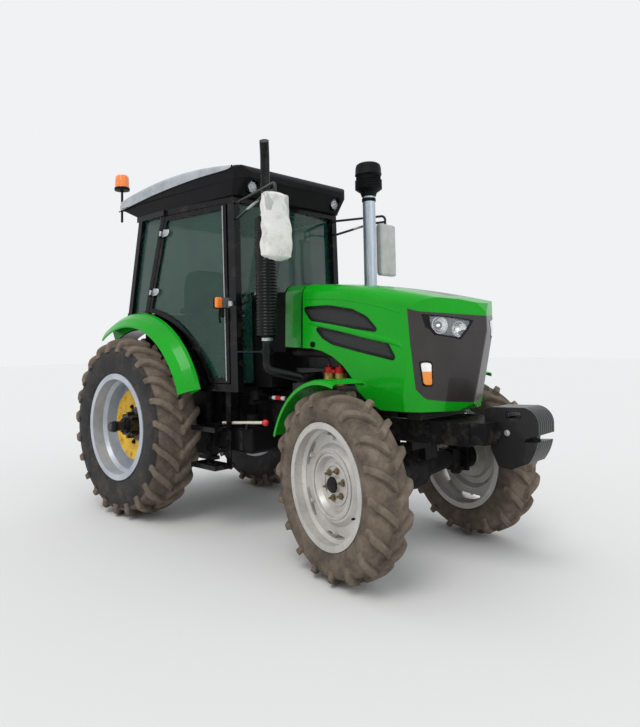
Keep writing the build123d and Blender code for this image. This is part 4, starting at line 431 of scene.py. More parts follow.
cast_black = Finish("black_casting", (0.02, 0.02, 0.02), 0.55, Specular_IOR_Level=0.15)
cast_black.worn((9.0, 6.0, 0.7), (0.5, 0.72), (0.008, 0.008, 0.009), (0.050, 0.040, 0.031), (0.42, 0.85))
cast_black.bump((260.0, 4.0, 0.7), 0.0008, 0.6)

plated = Finish("plated_nuts", (0.30, 0.24, 0.15), 0.4, 0.6)
plated.worn((120.0, 4.0), (0.35, 0.65), (0.34, 0.27, 0.17), (0.10, 0.07, 0.045))

for side, sign in SIDES:
    wheel, joint = f"wheel_rear_{side}", f"rear_wheel_{side}"
    centre, ahead, out, up = wheel_frame(joint)
    disc = Finish(f"disc_yellow_{side}", (0.75, 0.45, 0.02), 0.4, 0.1, Coat_Weight=0.2)
    x = disc.add("SeparateXYZ", "X", {0: disc.place(tuple(centre))})
    z = x.node.outputs["Z"]
    away = disc.sum(disc.sum(disc.sum(x, x, "MULTIPLY"), disc.sum(z, z, "MULTIPLY")), 0.5, "POWER")
    grease = disc.between(
        disc.sum(away, disc.between(disc.noise(28.0), 0.3, 0.7, -0.02, 0.02)), 0.122, 0.132, 1.0, 0.0
    )
    dirt = disc.between(disc.noise(16.0, 6.0, 0.7), 0.5, 0.7)
    yellow = disc.blend(dirt, (0.80, 0.47, 0.015), (0.36, 0.22, 0.05))
    disc.set(
        Base_Color=disc.blend(grease, yellow, (0.012, 0.012, 0.012)),
        Roughness=disc.between(dirt, 0, 1, 0.35, 0.7)
    )
    disc.bump((300.0, 2.0), 0.0002, 0.4)
    disc.on(f"rear_disc_{side}")
    outwards = sign * out
    heads = bolts(circle_on(joint, 8, 0.226, 0.002 * sign, 0.2), outwards, 0.013, 0.011, 0.0025)
    piece(f"rear_disc_bolts_{side}", heads, disc, wheel)
    nuts = bolts(circle_on(joint, 8, 0.142, -0.023 * sign, 0.3), outwards, 0.012, 0.014, 0.003)
    clamp = turned(centre, outwards, mm((36, 68), (58, 70), (60, 80), (58, 90), (36, 92)), 40)
    cap = turned(centre, outwards, mm((36, 150), (40, 153), (40, 178), (34, 183), (35, 186)), 40)
    clamp_bolts = bolts(circle_on(joint, 4, 0.048, 0.091 * sign, 0.5), outwards, 0.008, 0.008)
    piece(f"rear_hub_nuts_{side}", nuts + [clamp, cap] + clamp_bolts, cast_black, wheel)
    valve = turned(
        around_wheel(joint, 0.9, 0.318, 0.088 * sign), outwards,
        mm((4, -20), (4, 30), (6, 31), (6, 45), (4, 47)), 12
    )
    piece(f"rear_valve_{side}", [valve], cast_black, wheel)

    wheel, joint = f"wheel_front_{side}", f"front_wheel_{side}"
    centre, ahead, out, up = wheel_frame(joint)
    outwards = sign * out
    bead = mm((168, 42.5), (166, 46.5), (172, 50), (178, 46.5), (176, 42.5))
    ribs = [turned(centre, outwards, bead, 72, caps=False)]
    lip = mm((96, 15.5), (96, 21), (104, 23.5), (112, 21), (112, 15.5))
    ribs.append(turned(centre, outwards, lip, 60, caps=False))
    nuts = bolts(circle_on(joint, 6, 0.074, 0.016 * sign, 0.25), outwards, 0.013, 0.016, 0.003)
    ends = mm((6, 28), (6, 42), (5, 44), (3, 44))
    nuts += [
        turned(place, outwards, [(r, y - 0.010) for r, y in ends], 12)
        for place in circle_on(joint, 6, 0.074, 0.016 * sign, 0.25)
    ]
    tabs = bolts(circle_on(joint, 6, 0.246, 0.020 * sign, 0.0), outwards, 0.012, 0.012, 0.003)
    piece(f"front_disc_ribs_{side}", ribs + tabs, rim_silver, wheel)
    piece(f"front_hub_nuts_{side}", nuts, plated, wheel)
    cover = mm((42, 30), (42, 40), (38, 46), (20, 50), (4, 51))
    hub = [turned(centre, outwards, cover, 36)]
    piece(f"front_hub_cap_{side}", hub, cast_black, wheel)
    stem = mm((4, -20), (4, 28), (6, 29), (6, 43), (4, 45))
    valve = turned(around_wheel(joint, 2.0, 0.272, 0.050 * sign), outwards, stem, 12)
    piece(f"front_valve_{side}", [valve], cast_black, wheel)


# ---------------------------------------------------------------- castings, frame rails and front axle
# The gearbox and axle housings, the frame rails, the axle beam and its knuckles are cast or
# welded, painted black and dusty; flange bolts hold them together.
cast_black.on(
    "gearbox_housing", "rear_axle_housing", "front_frame", "front_axle_beam", "knuckle_left", "knuckle_right",
    "engine_block", "weight_carrier",
)
block_finish = Finish("engine_enamel", (0.05, 0.05, 0.052), 0.5)
block_finish.worn((6.0, 6.0, 0.7), (0.45, 0.7), (0.05, 0.052, 0.055), (0.012, 0.011, 0.010), (0.55, 0.25))
block_finish.bump((240.0, 4.0, 0.7), 0.0008, 0.6)
block_finish.on("engine_block")

for side, sign in SIDES:
    rows = [
        at(x, sign * 0.214, z) for x in (1.36, 1.46, 1.78, 1.88, 2.30, 2.40, 2.50) for z in (0.735, 0.785)
    ]
    piece(
        f"frame_bolts_{side}", bolts(rows, (0, sign, 0), 0.012, 0.010, 0.002), cast_black
    )
    flange = mm((165, 620), (165, 720), (165, 820), (80, 545), (90, 895))
    rows = [at(1.042, sign * y, z) for y, z in flange]
    piece(f"bell_bolts_{side}", bolts(rows, (-1, 0, 0), 0.010, 0.009, 0.002), cast_black)
    king = wheel_frame(f"steer_{side}")[0]
    caps = mm((34, -2), (34, 8), (28, 14), (10, 16))
    top = [turned(king + (0, 0, 0.0915 * s), (0, 0, s), caps, 28) for s in (1, -1)]
    piece(f"king_pin_caps_{side}", top, cast_black, f"knuckle_{side}")


# ---------------------------------------------------------------- hood, cowl and fenders
# Pressed steel panels in bright green gloss paint. The hood is one shell hinged at its rear edge;
# the cowl strip behind it is fixed. The fenders are rolled sheet with turned-in edges.
green = Finish(
    "green_gloss", (0.002, 0.34, 0.010), 0.32, 0.0, Coat_Weight=0.2, Coat_Roughness=0.05,
    Specular_IOR_Level=0.15
)
shade = green.noise(1.6, 3.0, 0.5)
film = green.between(green.noise(14.0, 6.0, 0.7), 0.50, 0.85, 0.0, 0.22)
low = green.add("SeparateXYZ", "Z", {0: green.place()})
dusty_low = green.sum(
    green.between(low, 1.05, 0.75, 0.0, 0.35), green.between(green.noise(22.0, 6.0, 0.75), 0.35, 0.7),
    "MULTIPLY"
)
paint = green.blend(green.between(shade, 0.3, 0.7), (0.0012, 0.285, 0.006), (0.003, 0.345, 0.010))
paint = green.blend(green.sum(film, dusty_low, "MAXIMUM"), paint, (0.05, 0.20, 0.035))
spot = green.add("SeparateXYZ", "X", {0: green.place(tuple(at(2.20, 0.0, 0)))})
taper = green.between(spot, -0.22, 0.22, 0.085, 0.135)
strip = green.sum(green.sum(spot, 0, "ABSOLUTE"), 0.215, "LESS_THAN")
strip = green.sum(
    strip, green.sum(green.sum(spot.node.outputs["Y"], 0, "ABSOLUTE"), taper, "LESS_THAN"), "MULTIPLY"
)
strip = green.sum(strip, green.sum(low, 1.45, "GREATER_THAN"), "MULTIPLY")
paint = green.blend(strip, paint, (0.006, 0.022, 0.009))
green.set(Base_Color=paint, Roughness=green.between(film, 0, 0.22, 0.26, 0.42))
green.bump((900.0, 2.0), 0.00008, 0.25)
green.on("hood_shell", "rear_fenders", "front_fender_left", "front_fender_right")

black_gloss = Finish(
    "black_gloss_paint", (0.012, 0.012, 0.013), 0.25, 0.0, Coat_Weight=0.15, Coat_Roughness=0.06,
    Specular_IOR_Level=0.12
)
black_gloss.worn((11.0, 6.0, 0.7), (0.52, 0.8), (0.004, 0.004, 0.005), (0.030, 0.027, 0.024), (0.22, 0.6))
black_gloss.bump((700.0, 2.0), 0.0001, 0.3)

black_plastic = Finish("black_grained_plastic", (0.022, 0.022, 0.023), 0.6, Specular_IOR_Level=0.12)
black_plastic.worn(
    (8.0, 6.0, 0.7), (0.5, 0.8), (0.004, 0.004, 0.005), (0.030, 0.027, 0.025), (0.5, 0.8), most=0.5
)
black_plastic.bump((900.0, 3.0, 0.7), 0.0004, 0.5)

# Painted shade: the cowl strip behind the hood wears a darker copy of the hood's green paint, varied by noise
# between two darker greens.
cowl_green_shaded = Finish("cowl_green_painted_shade", (0.004, 0.10, 0.01), 0.35, 0.0, Coat_Weight=0.5)
cowl_green_shaded.worn((12.0, 5.0), (0.3, 0.7), (0.003, 0.16, 0.010), (0.006, 0.25, 0.014))
cowl_green_shaded.bump((900.0, 2.0), 0.00008, 0.25)
cowl_green_shaded.on("cowl_panel")


def hood_side_y(x, z):
    """Half width of the hood: the section is turned back to where its top is level, and there it
    leans in by 16 mm from the waist to the shoulder and by 26 mm below the waist."""
    level, top, waist, widest = 1.210, 1.636, 1.075, 0.350
    base = top - 5.1
    height = base + np.hypot(x - level, z - base)
    above = widest - 0.016 * np.clip((height - waist) / (top - 0.019 - waist), 0, 1)
    below = widest - 0.026 * np.clip((waist - height) / 0.375, 0, 1)
    return np.where(height > waist, above, below)


def rounded_path(corners, radius, per_corner=8):
    """Closed outline whose corners are turned by a curve: two points before and after each corner
    at the radius, blended with the corner itself as a quadratic Bezier."""
    p = np.asarray(corners, float)
    before, after = np.roll(p, 1, axis=0) - p, np.roll(p, -1, axis=0) - p
    reach = lambda v: np.minimum(
        radius, 0.45 * np.linalg.norm(v, axis=1)
    )[:, None] * v / np.linalg.norm(v, axis=1)[:, None]
    start, end = p + reach(before), p + reach(after)
    t = np.linspace(0, 1, per_corner)[None, :, None]
    curve = (1 - t) ** 2 * start[:, None] + 2 * t * (1 - t) * p[:, None] + t**2 * end[:, None]
    return curve.reshape(-1, p.shape[1])


def oval(wide, high, steps):
    """Section whose points lie on an ellipse."""
    return [(wide * cos(a), high * sin(a)) for a in np.linspace(0, 2 * pi, steps, endpoint=False)]


def carried(path, section, face, closed=False):
    """A section carried along a path: point = path + u * across + v * face, where face is the
    outward direction at each point of the path and across is square to it and to the path."""
    path, face = np.asarray(path, float), np.broadcast_to(np.asarray(face, float), np.shape(path))
    run = (np.roll(path, -1, axis=0) - np.roll(path, 1, axis=0)) if closed else np.gradient(path, axis=0)
    run = run / np.linalg.norm(run, axis=1)[:, None]
    across = np.cross(run, face)
    across = across / np.linalg.norm(across, axis=1)[:, None]
    upright = np.cross(across, run)
    u, v = np.asarray(section, float).T
    rows = path[:, None] + u[None, :, None] * across[:, None] + v[None, :, None] * upright[:, None]
    return grid(rows, around=True, along=closed, caps=not closed)


def dense(corners, count):
    """Points evenly spaced by length round the closed outline through the corners."""
    p = np.vstack([corners, corners[:1]])
    length = np.concatenate([[0], np.cumsum(np.linalg.norm(np.diff(p, axis=0), axis=1))])
    s = np.linspace(0, length[-1], count, endpoint=False)
    return np.stack([np.interp(s, length, p[:, i]) for i in range(p.shape[1])], 1)


def on_hood(outline, sign):
    """Points (x, z) put on the hood's flank."""
    x, z = np.asarray(outline, float).T
    return at(x, sign * hood_side_y(x, z), z)


VENTS = [
    mm((1502, 1462), (1700, 1462), (1887, 1430), (1990, 1385), (2066, 1310), (1780, 1352), (1560, 1392)),
    mm((1606, 1333), (1860, 1296), (2129, 1246), (2189, 1152), (1960, 1196), (1737, 1243), (1660, 1280)),
]
mesh_black = Finish("vent_mesh", (0.02, 0.02, 0.02), 0.5, 0.2)
spot = mesh_black.place()
x = mesh_black.add("SeparateXYZ", "X", {0: spot})
z = x.node.outputs["Z"]
waves = []
for pace in (700.0, -700.0):
    phase = mesh_black.sum(mesh_black.sum(x, pace, "MULTIPLY"), mesh_black.sum(z, 404.0, "MULTIPLY"))
    waves.append(mesh_black.sum(phase, 0, "SINE"))
wire = mesh_black.between(mesh_black.sum(waves[0], waves[1], "MAXIMUM"), 0.45, 0.85)
mesh_black.set(
    Base_Color=mesh_black.blend(wire, (0.001, 0.001, 0.001), (0.055, 0.055, 0.055)), Roughness=0.45
)
mesh_black.bump(wire, 0.0015, 1.0)
mesh_black.on("hood_meshes")

for side, sign in SIDES:
    frames = []
    for outline in VENTS:
        line = dense(rounded_path(outline, 0.020), 220)
        section = mm((-11, -7), (-11, 1.5), (-7, 3.2), (0, 3.6), (4, 2.2), (4, -1))
        frames.append(carried(on_hood(line, sign), section, (0, sign, 0), closed=True))
    piece(f"vent_frames_{side}", frames, black_gloss, "hood", crisp=50.0)
    ridge = smooth_line(
        mm(
            (1500, 1378), (1600, 1362), (1800, 1325), (2000, 1283), (2100, 1262), (2200, 1236), (2245, 1205)
        ),
        90
    )
    t = np.linspace(0, 1, 90)
    width = 0.019 * np.clip(np.sin(pi * t) ** 0.45, 0.02, 1)
    height = 0.009 * np.clip(np.sin(pi * t) ** 0.7, 0.02, 1)
    a = np.linspace(0, pi, 15)
    middle = on_hood(ridge, sign)
    run = np.gradient(middle, axis=0)
    run = run / np.linalg.norm(run, axis=1)[:, None]
    across = np.cross(run, (0, sign, 0))
    u, v = np.cos(a), np.sin(a) ** 0.8
    rows = (
        middle[:, None] + (width[:, None] * u)[..., None] * across[:, None]
        + ((height[:, None] * v)[..., None] - 0.001) * np.array([0, sign, 0])
    )
    piece(
        f"hood_blade_{side}", [grid(rows, around=True, caps=True)], green, "hood", crisp=60.0
    )
    crease = smooth_line(mm((1500, 1520), (1800, 1500), (2050, 1455), (2220, 1405)), 80)
    bead = mm((-6, -1), (-3, 1.6), (0, 2.4), (3, 1.6), (6, -1))
    piece(
        f"hood_crease_{side}", [carried(on_hood(crease, sign), bead, (0, sign, 0))], green,
        "hood", crisp=60.0
    )
    latch = turned(
        at(1.575, sign * 0.348, 1.236), (0, sign, 0), mm((18, -4), (18, 4), (15, 6.5), (6, 7)), 28
    )
    piece(f"hood_latch_{side}", [latch], black_plastic, "hood")

# rubber seal between the hood's rear edge and the cowl
seal = mm(
    (1480, -347, 1235), (1480, -335.5, 1520), (1480, -300, 1592), (1480, -200, 1615.5), (1480, 0, 1621.5),
    (1480, 200, 1615.5), (1480, 300, 1592), (1480, 335.5, 1520), (1480, 347, 1235)
)
line = at(0, 0, 0) + smooth_line(seal, 120) - (0, 0, 0.001)
bead = oval(0.004, 0.004, 8)
piece("hood_seal", [carried(line, bead, (1, 0, 0))], black_plastic)


# ---------------------------------------------------------------- nose mask and lamps
# A moulded dark grey mask fills the nose. Each headlamp is a clear lens over two bright bowls in a
# black tub; below it stands a small lamp, white over amber.
mask_grey = Finish("mask_grey", (0.05, 0.046, 0.046), 0.34, 0.0, Coat_Weight=0.15, Specular_IOR_Level=0.3)
mask_grey.worn(
    (3.0, 5.0, 0.6), (0.3, 0.7), (0.022, 0.018, 0.018), (0.040, 0.034, 0.034), (0.3, 0.7, 0.26, 0.42)
)
mask_grey.bump((1100.0, 3.0, 0.7), 0.0002, 0.4)
mask_grey.on("nose_mask")

LOW_PLAN = mm((2455, 0), (2395, 190), (2325, 298), (2230, 352))
HIGH_PLAN = mm((2553, 0), (2478, 205), (2390, 308), (2270, 352))


def nose_x(y, z):
    """How far the nose reaches at |y| and z: its plan at that height is a line through four
    corners, which move evenly from the lower lip's plan to the plan at 1.3 m."""
    y, z = np.broadcast_arrays(np.abs(y), z)
    lip_z, rise = 0.868, 0.432
    share = np.clip((z - lip_z) / rise, None, 1)[..., None, None]
    plan = LOW_PLAN + share * (HIGH_PLAN - LOW_PLAN)
    x, w = plan[..., 0], plan[..., 1]
    found = np.zeros(y.shape)
    for k in range(3):
        part = np.clip((y - w[..., k]) / (w[..., k + 1] - w[..., k]), 0, 1)
        value = x[..., k] + part * (x[..., k + 1] - x[..., k])
        found = np.where(y >= w[..., k], value, found)
    return found


def on_nose(outline, proud=0.0):
    """Points (y, z) put on the nose, moved forwards by a distance."""
    y, z = np.moveaxis(np.asarray(outline, float), -1, 0)
    return at(nose_x(y, z) + proud, y, z)


def inset(outline, share):
    """Outline drawn in to a share of its size about its middle."""
    middle = outline.mean(axis=0)
    return middle + share * (outline - middle)


def nose_ring(*loops):
    """Closed strip through loops on the nose, each an outline with how far it is moved forwards."""
    return grid(np.stack([on_nose(outline, proud) for outline, proud in loops]), around=True, along=True)


def nose_panel(outline, front, back, dome=0.0):
    """Closed panel on the nose: rings shrink from the outline to its middle, the front face is
    lifted by the dome times one minus the share squared, the back face is flat behind it."""
    outline = np.asarray(outline, float)
    middle = outline.mean(axis=0)
    share = np.array([0.02, 0.25, 0.5, 0.72, 0.88, 0.96, 1.0])[:, None, None]
    rings = middle + share * (outline - middle)
    fronts = on_nose(rings) + (front + dome * (1 - share**2)) * np.array([1.0, 0, 0])
    backs = on_nose(rings[::-1]) + back * np.array([1.0, 0, 0])
    return grid(np.vstack([fronts, backs]), around=True, caps=True)


HEADLAMP = mm((322, 1388), (83, 1354), (159, 1251), (286, 1278), (315, 1318))
POSITION_LAMP = mm((322, 1144), (281, 1138), (262, 1002), (306, 1004))

lens = Finish("clear_lens", (0.60, 0.64, 0.67), 0.04, 0.0, Alpha=0.16, Coat_Weight=0.5)
lens.bump(
    lens.add(
        "TexWave", "Fac", {"Vector": lens.place(), "Scale": 60.0, "Distortion": 0.4},
        bands_direction="Y"
    ),
    0.0003, 0.25
)
bright = Finish("bright_bowl", (0.70, 0.72, 0.75), 0.14, 1.0)
facets = bright.add(
    "TexVoronoi", "Distance", {"Vector": bright.place(), "Scale": 90.0}, feature="DISTANCE_TO_EDGE"
)
bright.bump(bright.between(facets, 0.0, 0.1), 0.0006, 0.5)
bulb = Finish(
    "bulb_glass", (1.0, 0.97, 0.9), 0.1, 0.0, Emission_Color=(1.0, 0.95, 0.85, 1), Emission_Strength=0.6
)
bulb.satin(200.0, 0.05, 0.2)

tubs, bowls, bulbs, lenses, rims = [], [], [], [], []
for sign in (1, -1):
    flip = np.array([sign, 1.0])
    edge = dense(rounded_path(HEADLAMP, 0.016), 120)
    shrunk = inset(edge, 0.93)
    tubs.append(nose_panel(edge * flip, -0.050, -0.062))
    tubs.append(
        nose_ring(
            (edge * flip, -0.003), (edge * flip, -0.055), (shrunk * flip, -0.055), (shrunk * flip, -0.003)
        )
    )
    lenses.append(nose_panel(edge * flip, -0.004, -0.007, dome=0.005))
    inner = inset(edge, 0.87)
    rims.append(
        nose_ring(
            (edge * flip, -0.004), (edge * flip, 0.0012), (inner * flip, 0.0012), (inner * flip, -0.002)
        )
    )
    for y, z, size in ((0.163, 1.306, 0.040), (0.256, 1.329, 0.043)):
        facing = np.array([0.86, 0.5 * sign, 0.02])
        base = on_nose([(y * sign, z)], -0.012)[0]
        bowl = [
            (0.010, -0.036), (0.5 * size, -0.030), (0.8 * size, -0.016), (size, 0.0), (size + 0.002, 0.0),
            (size + 0.002, -0.003), (0.82 * size, -0.020), (0.5 * size, -0.034), (0.010, -0.040)
        ]
        bowls.append(turned(base, facing, bowl, 44))
        bulbs.append(turned(base, facing, mm((1, -37), (7, -34), (8, -18), (6, -10), (1, -7)), 20))
piece("headlamp_tubs", tubs, black_plastic, "hood", crisp=40.0)
piece("headlamp_bowls", bowls, bright, "hood")
piece("headlamp_bulbs", bulbs, bulb, "hood")
piece("headlamp_rims", rims, black_gloss, "hood", crisp=50.0)
lens_piece = piece("headlamp_lenses", lenses, lens, "hood", crisp=50.0)

two_tone = Finish("white_over_amber", (0.9, 0.9, 0.9), 0.15, 0.0, Coat_Weight=0.6)
height = two_tone.add("SeparateXYZ", "Z", {0: two_tone.place()})
ribs = two_tone.add("TexWave", "Fac", {"Vector": two_tone.place(), "Scale": 55.0}, bands_direction="Z")
tint = two_tone.blend(ribs, (0.80, 0.21, 0.012), (1.0, 0.33, 0.03))
two_tone.set(Base_Color=two_tone.blend(two_tone.between(height, 1.083, 1.086), tint, (0.85, 0.85, 0.83)))
two_tone.bump(ribs, 0.0008, 0.6)
lamps, bezels = [], []
for sign in (1, -1):
    edge = dense(rounded_path(POSITION_LAMP, 0.016), 80) * (sign, 1.0)
    inner = inset(edge, 0.86)
    lamps.append(nose_panel(inner, 0.0, -0.020, dome=0.008))
    bezels.append(nose_ring((edge, -0.016), (edge, 0.002), (inner, 0.003), (inner, -0.016)))
piece("position_lamps", lamps, two_tone, "hood", crisp=60.0)
piece("position_lamp_bezels", bezels, black_gloss, "hood", crisp=50.0)
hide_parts("front_lamps")


# ---------------------------------------------------------------- cab, doors and roof
# A frame of square tube in black gloss paint holds tinted safety glass. Each door hangs on two
# bright hinge plates. A silver cover lies on the roof's thick black liner.
black_gloss.on("cab_frame", "door_frame_left", "door_frame_right", "cab_floor", "exhaust_pipe", "steps")

glass = Finish(
    "tinted_glass", (0.012, 0.045, 0.036), 0.03, 0.0, Alpha=0.6, Coat_Weight=0.25, Coat_Roughness=0.02
)
glass.worn((3.0, 5.0, 0.7), (0.35, 0.75), (0.005, 0.040, 0.028), (0.018, 0.080, 0.056), (0.02, 0.09))
glass.on("cab_glass", "door_glass_left", "door_glass_right")

roof_silver = Finish("roof_silver", (0.36, 0.39, 0.42), 0.35, 0.25, Coat_Weight=0.4)
roof_silver.worn((7.0, 6.0, 0.65), (0.42, 0.68), (0.40, 0.43, 0.46), (0.27, 0.30, 0.33), (0.28, 0.5))
roof_silver.bump((600.0, 2.0), 0.0001, 0.3)
roof_silver.on("roof_cover")
black_plastic.on("roof_liner", "console", "battery_box", "fuel_tank")

bright_steel = Finish("bright_steel", (0.55, 0.56, 0.57), 0.28, 0.9)
bright_steel.worn(
    (60.0, 6.0, 0.75), (0.3, 0.7), (0.42, 0.43, 0.44), (0.62, 0.63, 0.64), (0.3, 0.7, 0.2, 0.45)
)


def plate(outline, low, high, frame_of):
    """Flat plate: its outline is given in two directions of a frame (origin, first, second, normal)
    and carried from low to high along the normal, with small chamfers at both faces."""
    origin, first, second, normal = (np.asarray(v, float) for v in frame_of)
    p = np.asarray(outline, float)
    middle, edge = p.mean(axis=0), 0.0015
    inner = middle + (p - middle) * (1 - edge / np.linalg.norm(p - middle, axis=1).max() * 1.5)
    levels = [(inner, low), (p, low + edge), (p, high - edge), (inner, high)]
    rows = [origin + q[:, :1] * first + q[:, 1:] * second + h * normal for q, h in levels]
    return grid(np.stack(rows), around=True, caps=True)


for side, sign in SIDES:
    hinge = joints[f"door_{side}_hinge"]
    axis = np.array(hinge["axis"]) * sign
    foot = np.array(hinge["pos_m"])
    door_run = np.array([1.020 - 0.134, sign * (0.515 - 0.620), 0])
    door_run = door_run / np.linalg.norm(door_run)
    outwards = np.cross(door_run, axis) * -sign
    outwards = outwards / np.linalg.norm(outwards)
    leaves, posts = [], []
    for z in (1.640, 2.070):
        spot = foot + axis * (z - 1.640) / axis[2]
        frame_of = (spot, door_run, axis, outwards)
        leaf = rounded_path(mm((12, -30), (75, -24), (90, 0), (75, 24), (12, 30)), 0.008, 5)
        leaves.append(plate(leaf, -0.0118, -0.0045, frame_of))
        leaves += bolts(
            [spot + 0.035 * door_run - 0.0045 * outwards, spot + 0.062 * door_run - 0.0045 * outwards],
            outwards, 0.005, 0.004
        )
        posts.append(
            turned(
                spot - 0.0178 * axis, axis,
                [(0.0092, 0.0), (0.0098, 0.001), (0.0098, 0.0346), (0.0092, 0.0356)], 24
            )
        )
    piece(f"hinge_plates_{side}", leaves + posts, bright_steel, f"door_{side}")

    # door edge trim and handle, on the door's plane
    corner = at(0.134, sign * 0.620, 0)
    out_flat = np.array([-door_run[1], door_run[0], 0]) * sign
    door_at = (
        lambda x, z, proud: corner + door_run * ((x - 0.134) / abs(door_run[0])) + np.array([0, 0, z])
        + out_flat * proud
    )
    front_x = lambda z: 1.020 + (0.990 - 1.020) * (z - 0.930) / 1.31 - 0.036 - 0.006
    zs = np.linspace(1.00, 2.185, 60)
    trim = np.stack([door_at(front_x(z) - 0.030, z, 0.0005) for z in zs])
    section = mm((-3.5, -1), (-3, 2.2), (0, 3), (3, 2.2), (3.5, -1))
    piece(
        f"door_trim_{side}", [carried(trim, section, out_flat)], bright_steel,
        f"door_{side}"
    )
    base = door_at(front_x(1.465) - 0.050, 1.465, 0.0)
    frame_of = (base, door_run, (0, 0, 1), out_flat)
    grip = [
        plate(
            rounded_path(mm((-18, -40), (18, -40), (18, 40), (-18, 40)), 0.012, 5), -0.002, 0.006, frame_of
        )
    ]
    bar = np.stack(
        [
            base + out_flat * o + np.array([0, 0, h])
            for o, h in mm((4, 30), (24, 22), (30, 0), (30, -60), (22, -75))
        ]
    )
    ring = oval(0.007, 0.007, 12)
    grip.append(carried(smooth_line(bar, 30), ring, door_run))
    piece(f"door_handle_{side}", grip, black_plastic, f"door_{side}")


def block(low, high, corner, around=40, rows=20):
    """Rounded block: middle + sign(d) * (half size - corner) + corner * d, for every direction d
    of a sphere's grid."""
    low, high = np.minimum(low, high), np.maximum(low, high)
    u = np.linspace(0, 2 * pi, around, endpoint=False) + pi / around
    v = np.linspace(-pi / 2, pi / 2, rows)
    d = np.stack(
        [
            np.cos(v)[:, None] * np.cos(u), np.cos(v)[:, None] * np.sin(u),
            np.sin(v)[:, None] * np.ones(around)
        ],
        -1
    )
    inner = np.maximum((high - low) / 2 - corner, 0)
    return grid((low + high) / 2 + np.sign(d) * inner + corner * d, around=True, caps=True)


# roof: mouldings round the seam and the front lamps in their black housings
lamp_centre = [at(1.092, y, 2.298) for y in (0.412, -0.412)]
work_bowls, work_lenses, work_rims = [], [], []
for centre in lamp_centre:
    work_bowls.append(
        turned(
            centre, (1, 0, 0), mm((8, -40), (26, -30), (36, -12), (40, 6), (43, 6), (43, -34), (12, -44)),
            48
        )
    )
    work_lenses.append(
        turned(centre, (1, 0, 0), mm((1, 16), (20, 14.5), (36, 10), (41.5, 4), (41.5, 1), (1, 1)), 48)
    )
    work_rims.append(
        turned(
            centre, (1, 0, 0),
            mm((40, 2), (40.5, 12), (42.5, 14), (43.8, 10), (43.8, -20), (40, -20), (40, 2)), 48, caps=False
        )
    )
work_lens = piece("roof_lamp_lenses", work_lenses, lens)
piece("roof_lamp_bowls", work_bowls, bright)
piece("roof_lamp_rims", work_rims, black_gloss)
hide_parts("roof_lamps")

seam = smooth_line(
    mm((-303, 2318.5), (-170, 2333), (224, 2382), (645, 2411), (985, 2417), (1035, 2440)), 120
)
side_y = np.interp(seam[:, 0], [-0.305, 1.048], [0.640, 0.531])
bead = oval(0.005, 0.0035, 10)
beads = [
    carried(at(seam[5:, 0], sign * (side_y[5:] + 0.0005), seam[5:, 1] + 0.001), bead, (0, sign, 0))
    for sign in (1, -1)
]
piece("roof_seam_beads", beads, black_plastic)

# side lamps: a bent bright bracket carries a lamp that is amber towards the front and clear behind
amber = Finish("amber_lens", (0.9, 0.2, 0.01), 0.12, 0.0, Coat_Weight=0.7)
lines = amber.add("TexWave", "Fac", {"Vector": amber.place(), "Scale": 70.0}, bands_direction="Z")
amber.set(Base_Color=amber.blend(lines, (0.75, 0.14, 0.006), (1.0, 0.27, 0.02)))
amber.bump(lines, 0.0008, 0.6)
lamp_bodies, lamp_ambers, lamp_clears, brackets = [], [], [], []
for sign in (1, -1):
    lamp_bodies.append(block(at(1.000, sign * 0.562, 1.477), at(1.026, sign * 0.678, 1.553), 0.012))
    lamp_ambers.append(block(at(1.014, sign * 0.628, 1.480), at(1.044, sign * 0.676, 1.550), 0.011))
    lamp_clears.append(block(at(1.014, sign * 0.628, 1.480), at(1.042, sign * 0.564, 1.550), 0.011))
    run = smooth_line(
        [
            at(1.016, sign * 0.508, 1.515), at(1.022, sign * 0.530, 1.514), at(1.012, sign * 0.552, 1.512),
            at(1.004, sign * 0.575, 1.512)
        ],
        24
    )
    section = mm((-16, -2), (-16, 2), (16, 2), (16, -2))
    brackets.append(carried(run, section, (1, 0, 0)))
lamp_body = piece("side_lamp_bodies", lamp_bodies, black_plastic)
piece("side_lamp_ambers", lamp_ambers, amber)
piece("side_lamp_clears", lamp_clears, lens)
piece("side_lamp_brackets", brackets, bright_steel)
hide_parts("side_lamps")


def fluted(base, radius, heights, angle):
    """Upright part whose radius varies round it too: base + radius * unit circle + height."""
    rows = np.stack(
        [radius * np.cos(angle), radius * np.sin(angle), heights[:, None] * np.ones(len(angle))], -1
    )
    return grid(base + rows, around=True, caps=True)


# beacon: an amber dome with upright ribs on a black foot and pole
spin = at(-0.345, -0.575, 0)
rows = mm((56, 2542), (56.5, 2560), (55.5, 2600), (53, 2628), (44, 2642), (25, 2647.5), (2, 2648))
t = np.linspace(0, 2 * pi, 96, endpoint=False)
radius = rows[:, 0, None] * (1 - 0.018 * (0.5 + 0.5 * np.sign(np.cos(24 * t))) * (rows[:, 1, None] < 2.63))
dome_piece = piece("beacon_dome", [fluted(spin, radius, rows[:, 1], t)], amber, crisp=25.0)
foot = mm((14, 2508), (20, 2516), (60, 2518), (62, 2524), (62, 2538), (58, 2542), (55, 2543))
pole = mm((9.5, 2255), (9.5, 2360), (14, 2362), (14, 2392), (9.5, 2394), (9.5, 2512))
arm = [
    block(at(-0.357, -0.578, 2.348), at(-0.333, -0.497, 2.370), 0.004, 24, 12),
    block(at(-0.350, -0.516, 2.346), at(-0.304, -0.498, 2.372), 0.004, 24, 12)
]
piece(
    "beacon_stand", [turned(spin, (0, 0, 1), foot, 48), turned(spin, (0, 0, 1), pole, 20), *arm],
    black_plastic
)
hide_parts("beacon")

